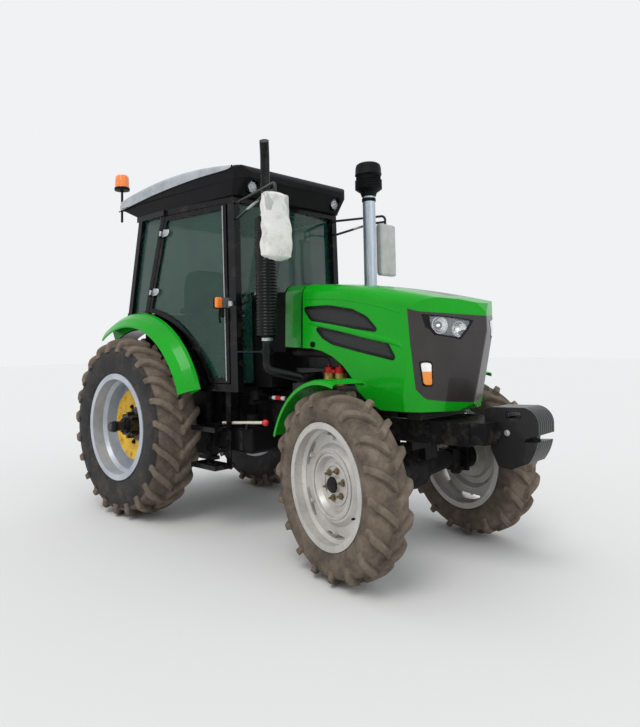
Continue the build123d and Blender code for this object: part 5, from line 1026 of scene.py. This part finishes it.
# wiper on the windscreen
pivot, tip = at(1.050, -0.06, 2.175), at(1.062, -0.20, 1.80)
run = smooth_line([pivot, pivot * 0.5 + tip * 0.5 + (0.012, 0, 0), tip], 30)
ring = oval(0.004, 0.004, 8)
blade = np.stack([tip + (tip - pivot) * s + (-0.004, 0, 0) for s in np.linspace(-0.45, 0.42, 24)])
section = mm((-4, -8), (-1, 6), (1, 6), (4, -8))
motor = turned(pivot, (1, 0, -0.05), mm((18, -30), (18, 6), (12, 12), (4, 13)), 24)
piece(
    "wiper", [carried(run, ring, (1, 0, 0)), carried(blade, section, (1, 0, 0)), motor], black_plastic,
)


# ---------------------------------------------------------------- silencer, air intake and mirrors
# The silencer hides in a black ribbed heat shield with a slanted tail pipe. The intake is a bright
# tube with dark clamps, under a black ribbed cleaner bowl. Mirror heads sit on black tube arms.
stack = at(1.327, -0.500, 0)
z = np.linspace(1.300, 2.036, 460)
wave = 0.5 + 0.5 * np.cos((z - 1.300) * 2 * pi / 0.0194)
radius = 0.0640 + 0.0050 * wave**0.6
profile = np.vstack(
    [
        mm((30, 1284), (52, 1285), (62, 1292)), np.stack([radius, z], 1),
        mm((62, 2040), (46, 2049), (30, 2049))
    ]
)
shield = piece(
    "heat_shield", [turned(stack, (0, 0, 1), profile, 56)], black_gloss, crisp=80.0
)
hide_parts("muffler")


def strap(axis_at, z, inner, outer, half, steps):
    """Band round an upright pipe, its outer edges eased by a millimetre."""
    eased = outer - 0.001
    section = [
        (inner, -half), (eased, -half), (outer, -0.008), (outer, 0.008), (eased, half), (inner, half)
    ]
    return turned(axis_at, (0, 0, 1), [(r, z + h) for r, h in section], steps)


clamps = []
for z in (1.272, 2.058):
    clamps.append(strap(stack, z, 0.031, 0.036, 0.010, 36))
    clamps += bolts([stack + np.array([0.036, -0.016, z])], (0, -1, 0), 0.006, 0.010, 0.002)
piece("exhaust_clamps", clamps, bright_steel)

intake = at(1.426, 0.425, 0)
pipe_steel = Finish("intake_steel", (0.42, 0.48, 0.55), 0.3, 0.75)
streak = pipe_steel.noise(1.0, 6.0, 0.7, pipe_steel.place(stretch=(60, 60, 4)))
pipe_steel.worn(streak, (0.35, 0.65), (0.34, 0.41, 0.48), (0.55, 0.60, 0.65), (0.3, 0.7, 0.2, 0.42))
pipe_steel.bump(streak, 0.0002, 0.4)
pipe_steel.on("intake_pipe")
bands = []
for z in (1.485, 1.560, 2.275):
    bands.append(strap(intake, z, 0.0465, 0.0505, 0.012, 40))
bands += bolts([intake + np.array([0.0505, -0.010, 2.275])], (0, -1, 0), 0.006, 0.010, 0.002)
piece("intake_bands", bands, black_plastic)

z = np.linspace(2.355, 2.418, 200)
fins = 0.094 + 0.0035 * np.sign(np.sin((z - 2.355) * 2 * pi / 0.0126))
foot_of_bowl = mm((50, 2300), (52, 2302), (60, 2328), (88, 2348), (94, 2354))
top_of_bowl = mm(
    (86, 2424), (84, 2432), (84, 2446), (90, 2452), (96.5, 2458), (96.5, 2466), (94.5, 2470), (92.5, 2510),
    (86, 2532), (70, 2544), (30, 2549.2), (1, 2549.5)
)
bowl = np.vstack([foot_of_bowl, np.stack([fins, z], 1), top_of_bowl])
cleaner = piece(
    "cleaner_bowl", [turned(intake, (0, 0, 1), bowl, 64)], black_plastic, crisp=32.0
)
t = np.linspace(0, 2 * pi, 40, endpoint=False)
slots = [
    block(
        intake + np.array([0.0868 * cos(a) - 0.003, 0.0868 * sin(a) - 0.003, 2.427]),
        intake + np.array([0.0868 * cos(a) + 0.003, 0.0868 * sin(a) + 0.003, 2.451]), 0.0028, 8, 6
    )
    for a in t
]
piece("cleaner_vanes", slots, black_plastic)
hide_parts("pre_cleaner")

# mirror arms stay black; the right head is wrapped in white packing foam, the left one is a pale shell
foam = Finish("packing_foam", (0.72, 0.71, 0.69), 0.85, 0.0, Sheen_Weight=0.15)
cells = foam.add("TexVoronoi", "Distance", {"Vector": foam.place(), "Scale": 160.0})
foam.worn((12.0, 6.0, 0.7), (0.5, 0.75), (0.70, 0.69, 0.67), (0.42, 0.41, 0.38))
foam.bump(foam.sum(cells, foam.noise(30.0, 4.0, 0.6), "ADD"), 0.003, 0.8)
shell = Finish("mirror_shell", (0.40, 0.41, 0.40), 0.45)
high = shell.add("SeparateXYZ", "Z", {0: shell.place()})
wide = shell.sum(high.node.outputs["Y"], 0, "ABSOLUTE")
head_part = shell.sum(
    shell.between(high, 2.126, 2.130, 1.0, 0.0), shell.between(wide, 0.558, 0.562), "MULTIPLY"
)
smudge = shell.between(shell.noise(15.0, 5.0), 0.35, 0.7)
shell.set(
    Base_Color=shell.blend(
        head_part, (0.012, 0.012, 0.013), shell.blend(smudge, (0.46, 0.47, 0.46), (0.36, 0.37, 0.36))
    )
)
shell.set(Roughness=shell.between(head_part, 0, 1, 0.3, 0.5))
shell.bump((800.0, 2.0), 0.0001, 0.3)
shell.on("mirrors")

u = np.linspace(0, 2 * pi, 120, endpoint=False)
v = np.linspace(0, 1, 90)
bulge = (
    1 + 0.045 * np.sin(7 * pi * v)[:, None] * np.cos(2 * u + 1.5) + 0.035 * np.sin(3 * u + 9 * v[:, None])
    + 0.02 * np.sin(11 * u + 23 * v[:, None])
)
end = np.clip(np.sin(pi * np.clip(v, 0.0, 1.0)) * 6, 0.0, 1) ** 0.5
half_x, half_y = (0.036 + 0.004 * np.sin(5 * v)) * end, (0.101 + 0.006 * np.sin(4 * v + 1)) * end
square = lambda c: np.sign(c) * np.abs(c) ** 0.55
wrap = np.stack([
    half_x[:, None] * square(np.cos(u)) * bulge + 0.004 + 0.006 * np.sin(6 * v)[:, None],
    half_y[:, None] * square(np.sin(u)) * bulge,
    (v * 0.408 - 0.204)[:, None] + 0.004 * np.sin(2 * u) * np.cos(5 * v)[:, None],
], -1)
wrap_middle = at(1.585, -0.655, 1.933)
piece(
    "mirror_wrap_right", [grid(wrap_middle + wrap, around=True, caps=True)], foam,
    crisp=70.0
)
glass_bright = Finish("mirror_glass", (0.75, 0.77, 0.78), 0.03, 1.0)
glass_bright.set(Roughness=glass_bright.between(glass_bright.noise(20.0), 0.4, 0.7, 0.02, 0.08))
reflector = block(at(1.3690, 0.575, 1.760), at(1.3735, 0.735, 2.106), 0.002, 32, 12)
piece("mirror_glass_left", [reflector], glass_bright)


# ---------------------------------------------------------------- driver's place
# A padded seat in black coated cloth with sewn channels, a moulded dash with dials, and a
# steering wheel with a thick soft rim, seen through the cab's glass.
seat_cloth = Finish("seat_cloth", (0.035, 0.035, 0.038), 0.7, 0.0, Sheen_Weight=0.2)
seat_cloth.worn((6.0, 4.0), (0.3, 0.7), (0.028, 0.028, 0.030), (0.055, 0.054, 0.056), (0.6, 0.8))
seat_cloth.bump((1400.0, 2.0, 0.6), 0.0006, 0.7)


def cushion(low, high, channels, crown=0.022):
    """Padded block: u runs round the outline (a squared circle), v from the bottom to the top.
    The top is crowned by the product of two cosines, sewn channels dip it along lines, and the
    sides pull in by the waist half way up."""
    low, high = np.asarray(low, float), np.asarray(high, float)
    middle, half = (low + high) / 2, (high - low) / 2
    u = np.linspace(0, 2 * pi, 160, endpoint=False)
    squared = lambda c: np.sign(c) * np.abs(c) ** 0.35
    ring = np.stack([squared(np.cos(u)), squared(np.sin(u))], 1)
    shares = np.concatenate(
        [np.linspace(0.02, 0.93, 30), [0.97, 0.99, 1.0, 1.0, 0.99, 0.97], np.linspace(0.93, 0.02, 30)]
    )
    level = np.concatenate([np.full(30, -1.0), [-0.95, -0.85, -0.7, 0.55, 0.75, 0.9], np.full(30, 1.0)])
    xy = shares[:, None, None] * ring
    top = np.clip(level, 0, 1)[:, None]
    lift = crown * (np.cos(0.5 * pi * xy[..., 0]) * np.cos(0.5 * pi * xy[..., 1]) - 1)
    dip = sum(
        np.exp(-(((xy[..., 0] - c) / 0.03) ** 2)) for c in channels
    ) * 0.007 * (shares < 0.96)[:, None]
    z = middle[2] + half[2] * level[:, None] * np.ones(len(u)) + top * (lift - dip)
    pull = 1 - 0.010 * (1 - np.abs(level))[:, None] / half[:2].min() * (shares > 0.95)[:, None]
    return np.stack(
        [middle[0] + half[0] * xy[..., 0] * pull, middle[1] + half[1] * xy[..., 1] * pull, z], -1
    )


low, high = at(0.062, -0.233, 1.272), at(0.518, 0.233, 1.396)
pad = piece(
    "seat_cushion", [grid(cushion(low, high, (-0.45, -0.1, 0.25, 0.55)), around=True, caps=True)],
    seat_cloth, crisp=75.0
)
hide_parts("seat")
upright = cushion((-0.262, -0.222, -0.048), (0.262, 0.222, 0.048), (-0.55, -0.2, 0.15, 0.5), crown=0.016)
tilt = 0.066
x, y, z = upright[..., 0], upright[..., 1], upright[..., 2]
back_rows = (
    at(0.0565, 0, 1.596)
    + np.stack(
        [
            z * cos(tilt) - x * sin(tilt) * 0.75, y * (1 - 0.12 * (x > 0) * (x / 0.262) ** 2),
            x * cos(tilt) + z * sin(tilt)
        ],
        -1
    )
)
back = piece("seat_back", [grid(back_rows, around=True, caps=True)], seat_cloth, crisp=75.0)
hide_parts("seat")
rests = [block(at(0.050, s * 0.240, 1.492), at(0.340, s * 0.288, 1.538), 0.020) for s in (1, -1)]
rests += [block(at(0.032, s * 0.202, 1.497), at(0.078, s * 0.260, 1.528), 0.010, 24, 12) for s in (1, -1)]
rests.append(block(at(0.020, -0.10, 1.335), at(0.075, 0.10, 1.42), 0.02, 24, 12))
arms = piece("seat_rests", rests, black_plastic)
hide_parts("seat")

wheel = joints["steering_wheel_turn"]
column = np.array(wheel["axis"])
hub_at = np.array(wheel["pos_m"])
soft_rim = Finish("wheel_rim_soft", (0.02, 0.02, 0.02), 0.55)
soft_rim.satin(30.0, 0.4, 0.65)
soft_rim.bump((1200.0, 2.0), 0.0004, 0.6)
soft_rim.on("steering_wheel")
cap = mm((41, 12), (40, 18), (30, 24), (12, 27), (1, 27.5))
piece("wheel_cap", [turned(hub_at, column, cap, 36)], black_gloss, "steering_wheel")
dials, faces = [], []
for y, size in ((-0.085, 0.036), (0.0, 0.045), (0.085, 0.036)):
    spot = at(0.792, y, 1.507)
    facing = (-0.72, 0, 0.69)
    dials.append(
        turned(
            spot, facing,
            [
                (size - 0.004, -0.008), (size, -0.008), (size, 0.010), (size - 0.003, 0.012),
                (size - 0.004, 0.008)
            ],
            40
        )
    )
    faces.append(
        turned(spot, facing, [(size - 0.005, 0.0075), (size - 0.005, 0.0092), (0.001, 0.0092)], 32)
    )
piece("dial_rings", dials, bright_steel)
dial_face = Finish("dial_face", (0.02, 0.02, 0.022), 0.4)
dial_face.worn((220.0,), (0.55, 0.6), (0.015, 0.015, 0.016), (0.35, 0.35, 0.33))
piece("dial_faces", faces, dial_face)
levers = []
for y, x, z in ((-0.31, 0.40, 1.26), (-0.31, 0.34, 1.26), (-0.35, 0.28, 1.24)):
    line = smooth_line([at(x, y, z - 0.20), at(x + 0.01, y, z), at(x + 0.03, y, z + 0.10)], 20)
    ring = oval(0.006, 0.006, 8)
    levers.append(carried(line, ring, (0, 1, 0)))
    levers.append(
        turned(line[-1], line[-1] - line[-2], mm((6, -10), (16, 0), (19, 14), (15, 28), (4, 34)), 20)
    )
piece("hand_levers", levers, black_plastic)


# ---------------------------------------------------------------- engine's open side
# Spin-on oil filter in red enamel, two fuel filters in brass-coloured cans with red tops, an
# alternator with cooling fins, black rubber lines between them and the cast exhaust manifold.
side_metal = Finish("filter_and_motor_cans", (0.2, 0.2, 0.2), 0.4, 0.6)
spot = side_metal.add("SeparateXYZ", "X", {0: side_metal.place(tuple(at(0, 0, 0)))})
px, pz = spot.node.outputs["X"], spot.node.outputs["Z"]
inside = lambda value, a, b: side_metal.sum(
    side_metal.sum(value, a, "GREATER_THAN"), side_metal.sum(value, b, "LESS_THAN"), "MULTIPLY"
)
red_can = side_metal.sum(inside(px, 1.49, 1.592), inside(pz, 0.83, 0.967), "MULTIPLY")
brass_can = side_metal.sum(inside(px, 1.57, 1.74), inside(pz, 0.98, 1.058), "MULTIPLY")
tone = side_metal.blend(red_can, (0.10, 0.10, 0.105), (0.45, 0.012, 0.010))
tone = side_metal.blend(brass_can, tone, (0.42, 0.27, 0.07))
red_top = side_metal.sum(inside(px, 1.57, 1.74), inside(pz, 1.058, 1.12), "MULTIPLY")
tone = side_metal.blend(red_top, tone, (0.45, 0.012, 0.010))
side_metal.worn((18.0, 6.0, 0.7), (0.5, 0.7), tone, (0.03, 0.027, 0.024), (0.32, 0.7))
side_metal.bump((400.0, 2.0), 0.0002, 0.4)
side_metal.on("engine_ancillaries")

radiator_core = Finish("radiator_core", (0.03, 0.03, 0.032), 0.5, 0.4)
fins = radiator_core.add(
    "TexWave", "Fac", {"Vector": radiator_core.place(), "Scale": 110.0}, bands_direction="Y"
)
tubes = radiator_core.add(
    "TexWave", "Fac", {"Vector": radiator_core.place(), "Scale": 24.0}, bands_direction="Z"
)
radiator_core.set(Base_Color=radiator_core.blend(fins, (0.008, 0.008, 0.009), (0.060, 0.058, 0.055)))
radiator_core.bump(radiator_core.sum(fins, tubes), 0.0012, 0.6)
radiator_core.on("radiator")

can_trim = []
for x in (1.610, 1.700):
    can_trim.append(
        turned(
            at(x, -0.232, 0), (0, 0, 1),
            mm(
                (30, 982), (37.5, 984), (37.5, 990), (36.5, 991), (36.5, 1052), (39.5, 1053), (39.5, 1062),
                (30, 1063)
            ),
            40
        )
    )
    can_trim += bolts([at(x, -0.232, 1.095)], (0, 0, 1), 0.010, 0.014, 0.002)
t = np.linspace(0, 2 * pi, 72, endpoint=False)
z = np.array([0.836, 0.840, 0.846, 0.872, 0.876, 0.958, 0.962, 0.965])
r = np.array([0.030, 0.040, 0.0465, 0.0465, 0.0470, 0.0470, 0.0465, 0.030])
flutes = 1 - 0.030 * (0.5 + 0.5 * np.cos(24 * t)) * ((z > 0.843) & (z < 0.874))[:, None]
can = fluted(at(1.540, -0.240, 0), r[:, None] * flutes, z, t)
piece("filter_cans", [*can_trim, can], side_metal)

hose_rubber = Finish("hose_rubber", (0.012, 0.012, 0.012), 0.6)
hose_rubber.satin(40.0, 0.45, 0.75)
hose_rubber.bump((600.0, 3.0), 0.0003, 0.5)
fins = []
for x in np.linspace(1.690, 1.790, 6):
    fins.append(
        turned(at(x, -0.240, 0.900), (1, 0, 0), mm((50, -3), (60, -3), (60.5, 0), (60, 3), (50, 3)), 40)
    )
fins.append(
    turned(
        at(1.797, -0.240, 0.900), (1, 0, 0),
        mm((12, 0), (34, 1), (36, 6), (30, 11), (36, 16), (34, 21), (10, 22)), 36
    )
)
piece("alternator_fins", fins, side_metal)


def line_of(corners, radius, steps=60):
    """Rigid line: a circle carried along a smooth curve through the corners."""
    ring = oval(radius, radius, 12)
    return carried(smooth_line([at(*c) for c in corners], steps), ring, (0.13, 0.97, 0.21))


lines = [
    line_of(
        mm(
            (1610, -232, 1098), (1612, -236, 1130), (1560, -232, 1160), (1470, -205, 1165),
            (1440, -180, 1150)
        ),
        0.006
    ),
    line_of(mm((1700, -232, 1098), (1702, -240, 1135), (1760, -215, 1170), (1800, -175, 1190)), 0.006),
    line_of(
        mm((1380, -180, 1000), (1385, -225, 980), (1400, -235, 900), (1395, -215, 800), (1380, -180, 740)),
        0.011
    ),
    line_of(
        mm(
            (1800, -165, 1100), (1840, -200, 1080), (1930, -210, 1070), (2060, -200, 1090),
            (2160, -170, 1120)
        ),
        0.020
    ),
]
piece("fuel_lines", lines, hose_rubber, crisp=60.0)
runners = [
    line_of(
        [(x, -0.185, 1.235), (x, -0.222, 1.238), (x + 0.012, -0.250, 1.222), (x + 0.020, -0.258, 1.190)],
        0.021, 24
    )
    for x in (1.34, 1.46, 1.58, 1.70)
]
runners.append(line_of(mm((1335, -258, 1188), (1500, -262, 1184), (1740, -258, 1188)), 0.030, 40))
piece("exhaust_manifold", runners, cast_black, crisp=60.0)


# ---------------------------------------------------------------- tank, steps and the driver's way up
# A moulded tank held by two steel bands, with a ribbed screw cap, a lever in cream paint with
# a red knob beside it, and rows of punched studs along the treads.
bands = []
for x in (0.790, 1.030):
    path = rounded_path(
        [(-y, z) for y, z in mm((235, 526.5), (471.5, 526.5), (471.5, 703.5), (235, 703.5))], 0.028
    )
    y, z = path[:, :1], path[:, 1:]
    edges = x + np.array([-0.016, 0.016])
    rows = at(edges, y, z)
    out = at(edges, -0.34 + (y + 0.34) * 1.012, 0.615 + (z - 0.615) * 1.016)
    bands.append(grid(np.concatenate([rows, out[:, ::-1]], 1), around=True, caps=True))
piece("tank_bands", bands, black_gloss)
angle = np.linspace(0, 2 * pi, 96, endpoint=False)
cap_z = np.array([0.742, 0.744, 0.751, 0.775, 0.779, 0.780])
cap_r = np.array([0.034, 0.040, 0.0415, 0.0415, 0.036, 0.030])
grip = 1 - 0.035 * (np.cos(16 * angle) > 0.2) * ((cap_z > 0.75) & (cap_z < 0.776))[:, None]
piece(
    "tank_cap", [fluted(at(1.080, -0.410, 0), cap_r[:, None] * grip, cap_z, angle)], black_plastic,
)

cream = Finish("cream_paint", (0.62, 0.58, 0.47), 0.4)
cream.worn((55.0, 5.0), (0.56, 0.66), (0.62, 0.58, 0.47), (0.30, 0.27, 0.21), (0.35, 0.7))
knob_red = Finish("knob_red", (0.55, 0.012, 0.012), 0.28, 0.0, Coat_Weight=0.4)
knob_red.satin(30.0, 0.2, 0.4)
lever = [
    line_of(mm((852, -482, 714.5), (950, -482, 722), (1100, -482, 734.5), (1272, -482, 748)), 0.0095, 30)
]
piece("side_lever", lever, cream, crisp=60.0)
holders = [
    block(at(x - 0.012, -0.487, 0.690), at(x + 0.012, -0.466, z), 0.004, 24, 12)
    for x, z in mm((885, 716), (1095, 732))
]
piece("side_lever_holders", holders, black_gloss)
piece(
    "side_lever_knob",
    [
        turned(
            at(1.262, -0.482, 0.7472), (1, 0, 0.08),
            mm((9, -4), (14, 0), (20, 12), (21, 22), (17, 34), (8, 41), (1, 43)), 28
        )
    ],
    knob_red
)

lips = []
for s in (1, -1):
    for z in (0.427, 0.672):
        for y in (0.513, 0.633):
            places = [at(x, s * y, z + 0.0305) for x in np.linspace(0.716, 0.949, 15)]
            lips += [
                turned(p, (0, 0, 1), mm((4.5, -4), (4.5, 1), (3, 2.5), (0.5, 2.8)), 10) for p in places
            ]
piece("tread_studs", lips, black_gloss)


# ---------------------------------------------------------------- front weights
# Eight cast plates side by side under thick black paint with a rough skin, clamped by a long
# bolt, each hung on the cast carrier at the tractor's nose.
weight_paint = Finish(
    "weight_paint", (0.018, 0.018, 0.019), 0.42, 0.0, Coat_Weight=0.2, Specular_IOR_Level=0.3
)
weight_paint.worn((9.0, 6.0, 0.7), (0.58, 0.74), (0.008, 0.008, 0.009), (0.035, 0.032, 0.029), (0.36, 0.7))
weight_paint.bump((160.0, 5.0, 0.7), 0.0012, 0.55)
weight_paint.on("front_weights")
clamp = []
for s, y in ((1, 0.088), (-1, -0.092)):
    clamp.append(turned(at(2.694, y, 0.771), (0, s, 0), mm((8, -2), (16, 0), (16, 2), (10, 2.5)), 30))
    clamp += bolts([at(2.694, y + s * 0.002, 0.771)], (0, s, 0), 0.011, 0.009)
piece("weight_clamp", clamp, bright_steel)


# ---------------------------------------------------------------- lift linkage and power take-off
# Forged arms and lower links in black enamel worn to steel at the eyes, screwed lift rods and a
# stowed top link with bright threads, and a ground splined shaft under its guard.
link_finish = Finish("linkage_enamel", (0.03, 0.03, 0.031), 0.45, 0.2)
rub = link_finish.worn(
    (24.0, 6.0, 0.7), (0.57, 0.68), (0.030, 0.030, 0.031), (0.17, 0.12, 0.08), (0.42, 0.65)
)
link_finish.set(Metallic=link_finish.between(rub, 0, 1, 0.15, 0.7))
link_finish.bump((220.0, 3.0), 0.0005, 0.4)
link_finish.on(
    "lift_arms", "lower_link_left", "lower_link_right", "lift_rod_left", "lift_rod_right", "top_link",
    "tie_rod"
)
ground_steel = Finish("ground_steel", (0.50, 0.50, 0.50), 0.25, 1.0)
streak = ground_steel.noise(60.0, 3.0, 0.6, ground_steel.place(stretch=(1, 14, 14)))
ground_steel.worn(streak, (0.5, 0.7), (0.50, 0.50, 0.50), (0.26, 0.22, 0.18), (0.3, 0.7, 0.18, 0.42))
ground_steel.on("pto_shaft")

THREAD_STEP = 0.0015  # between rows of a thread


def thread(foot, axis, start, end, radius, depth, pitch, steps):
    """Threaded stretch of a rod: its radius swings with the cosine of the way along it."""
    length = end - start
    way = np.linspace(0, 1, int(length / THREAD_STEP))
    profile = np.stack([radius + depth * np.cos(2 * pi * way * length / pitch), way * length], 1)
    return turned(foot + start * axis, axis, profile, steps)


rod_pin = 0.330
lift_shaft, link_pin = at(-0.250, 0, 0.850), np.array(joints["lower_link_left_swing"]["pos_m"])
slant = np.array([-cos(radians(3.0)), 0, sin(radians(3.0))])
arm_end = lift_shaft + rod_pin * slant
link_eye = np.array([link_pin[0], 0, link_pin[2]]) + rod_pin * slant
rise = (arm_end - link_eye) / np.linalg.norm(arm_end - link_eye)
for side, s in SIDES:
    y = s * 0.262
    foot = link_eye + np.array([0, y, 0])
    nuts = []
    for d in (0.118, 0.322):
        nuts += bolts([foot + d * rise], rise, 0.020, 0.012)
    nuts += [
        thread(foot, rise, *ends, 0.0068, 0.0008, 0.004, 20) for ends in ((0.060, 0.104), (0.336, 0.404))
    ]
    piece(f"lift_rod_thread_{side}", nuts, ground_steel, f"lift_rod_{side}")
    ends = link_pin * (1, 0, 1) + 0.740 * slant + np.array([0, s * 0.400, 0])
    rings = []
    for k in (1, -1):
        t = np.linspace(0, 2 * pi, 12, endpoint=False)
        u = np.linspace(0, 2 * pi, 48, endpoint=False)
        r = 0.0225 + 0.0065 * np.cos(t)[None, :]
        ring = (
            ends
            + np.stack(
                [
                    r * np.cos(u)[:, None], s * k * 0.0225 + 0.0018 * np.sin(t)[None, :] * np.ones((48, 1)),
                    r * np.sin(u)[:, None]
                ],
                -1
            )
        )
        rings.append(grid(ring, around=True, along=True))
    piece(f"link_ball_{side}", rings, ground_steel, f"lower_link_{side}")

pin = at(-0.352, 0, 0.790)
tip = at(-0.330, 0, 1.260)
stem = (tip - pin) / np.linalg.norm(tip - pin)
threads = [thread(pin, stem, *ends, 0.0108, 0.0010, 0.005, 24) for ends in ((0.050, 0.126), (0.352, 0.440))]
threads += bolts([pin + 0.127 * stem, pin + 0.340 * stem], stem, 0.024, 0.012)
piece("top_link_threads", threads, ground_steel)


# ---------------------------------------------------------------- coupling beside the bell housing
# A quick coupling in white and red moulded plastic joins two short black hoses that run from
# the gearbox to the engine.
coupling = Finish("coupling_plastic", (0.7, 0.7, 0.68), 0.35)
spot = coupling.add("SeparateXYZ", "X", {0: coupling.place(tuple(at(1.215, 0, 0)))})
middle = coupling.sum(coupling.sum(spot, 0, "ABSOLUTE"), 0.026, "LESS_THAN")
coupling.set(
    Base_Color=coupling.blend(middle, (0.70, 0.70, 0.68), (0.55, 0.015, 0.012)),
    Roughness=coupling.between(coupling.noise(40.0), 0.3, 0.7, 0.3, 0.5)
)
profile = mm(
    (6, -58), (12, -58), (13, -54), (13, -30), (10, -28), (10, -25), (14, -23), (15, 0), (14, 23), (10, 25),
    (10, 28), (13, 30), (13, 54), (11, 58), (6, 59)
)
piece("coupling", [turned(at(1.215, -0.300, 0.887), (1, 0, 0), profile, 32)], coupling)
hoses = [
    line_of(mm((1062, -180, 850), (1075, -225, 862), (1110, -285, 884), (1160, -300, 887)), 0.008, 30),
    line_of(mm((1270, -300, 887), (1330, -296, 880), (1400, -250, 850), (1420, -180, 840)), 0.008, 30)
]
piece("coupling_hoses", hoses, hose_rubber, crisp=60.0)
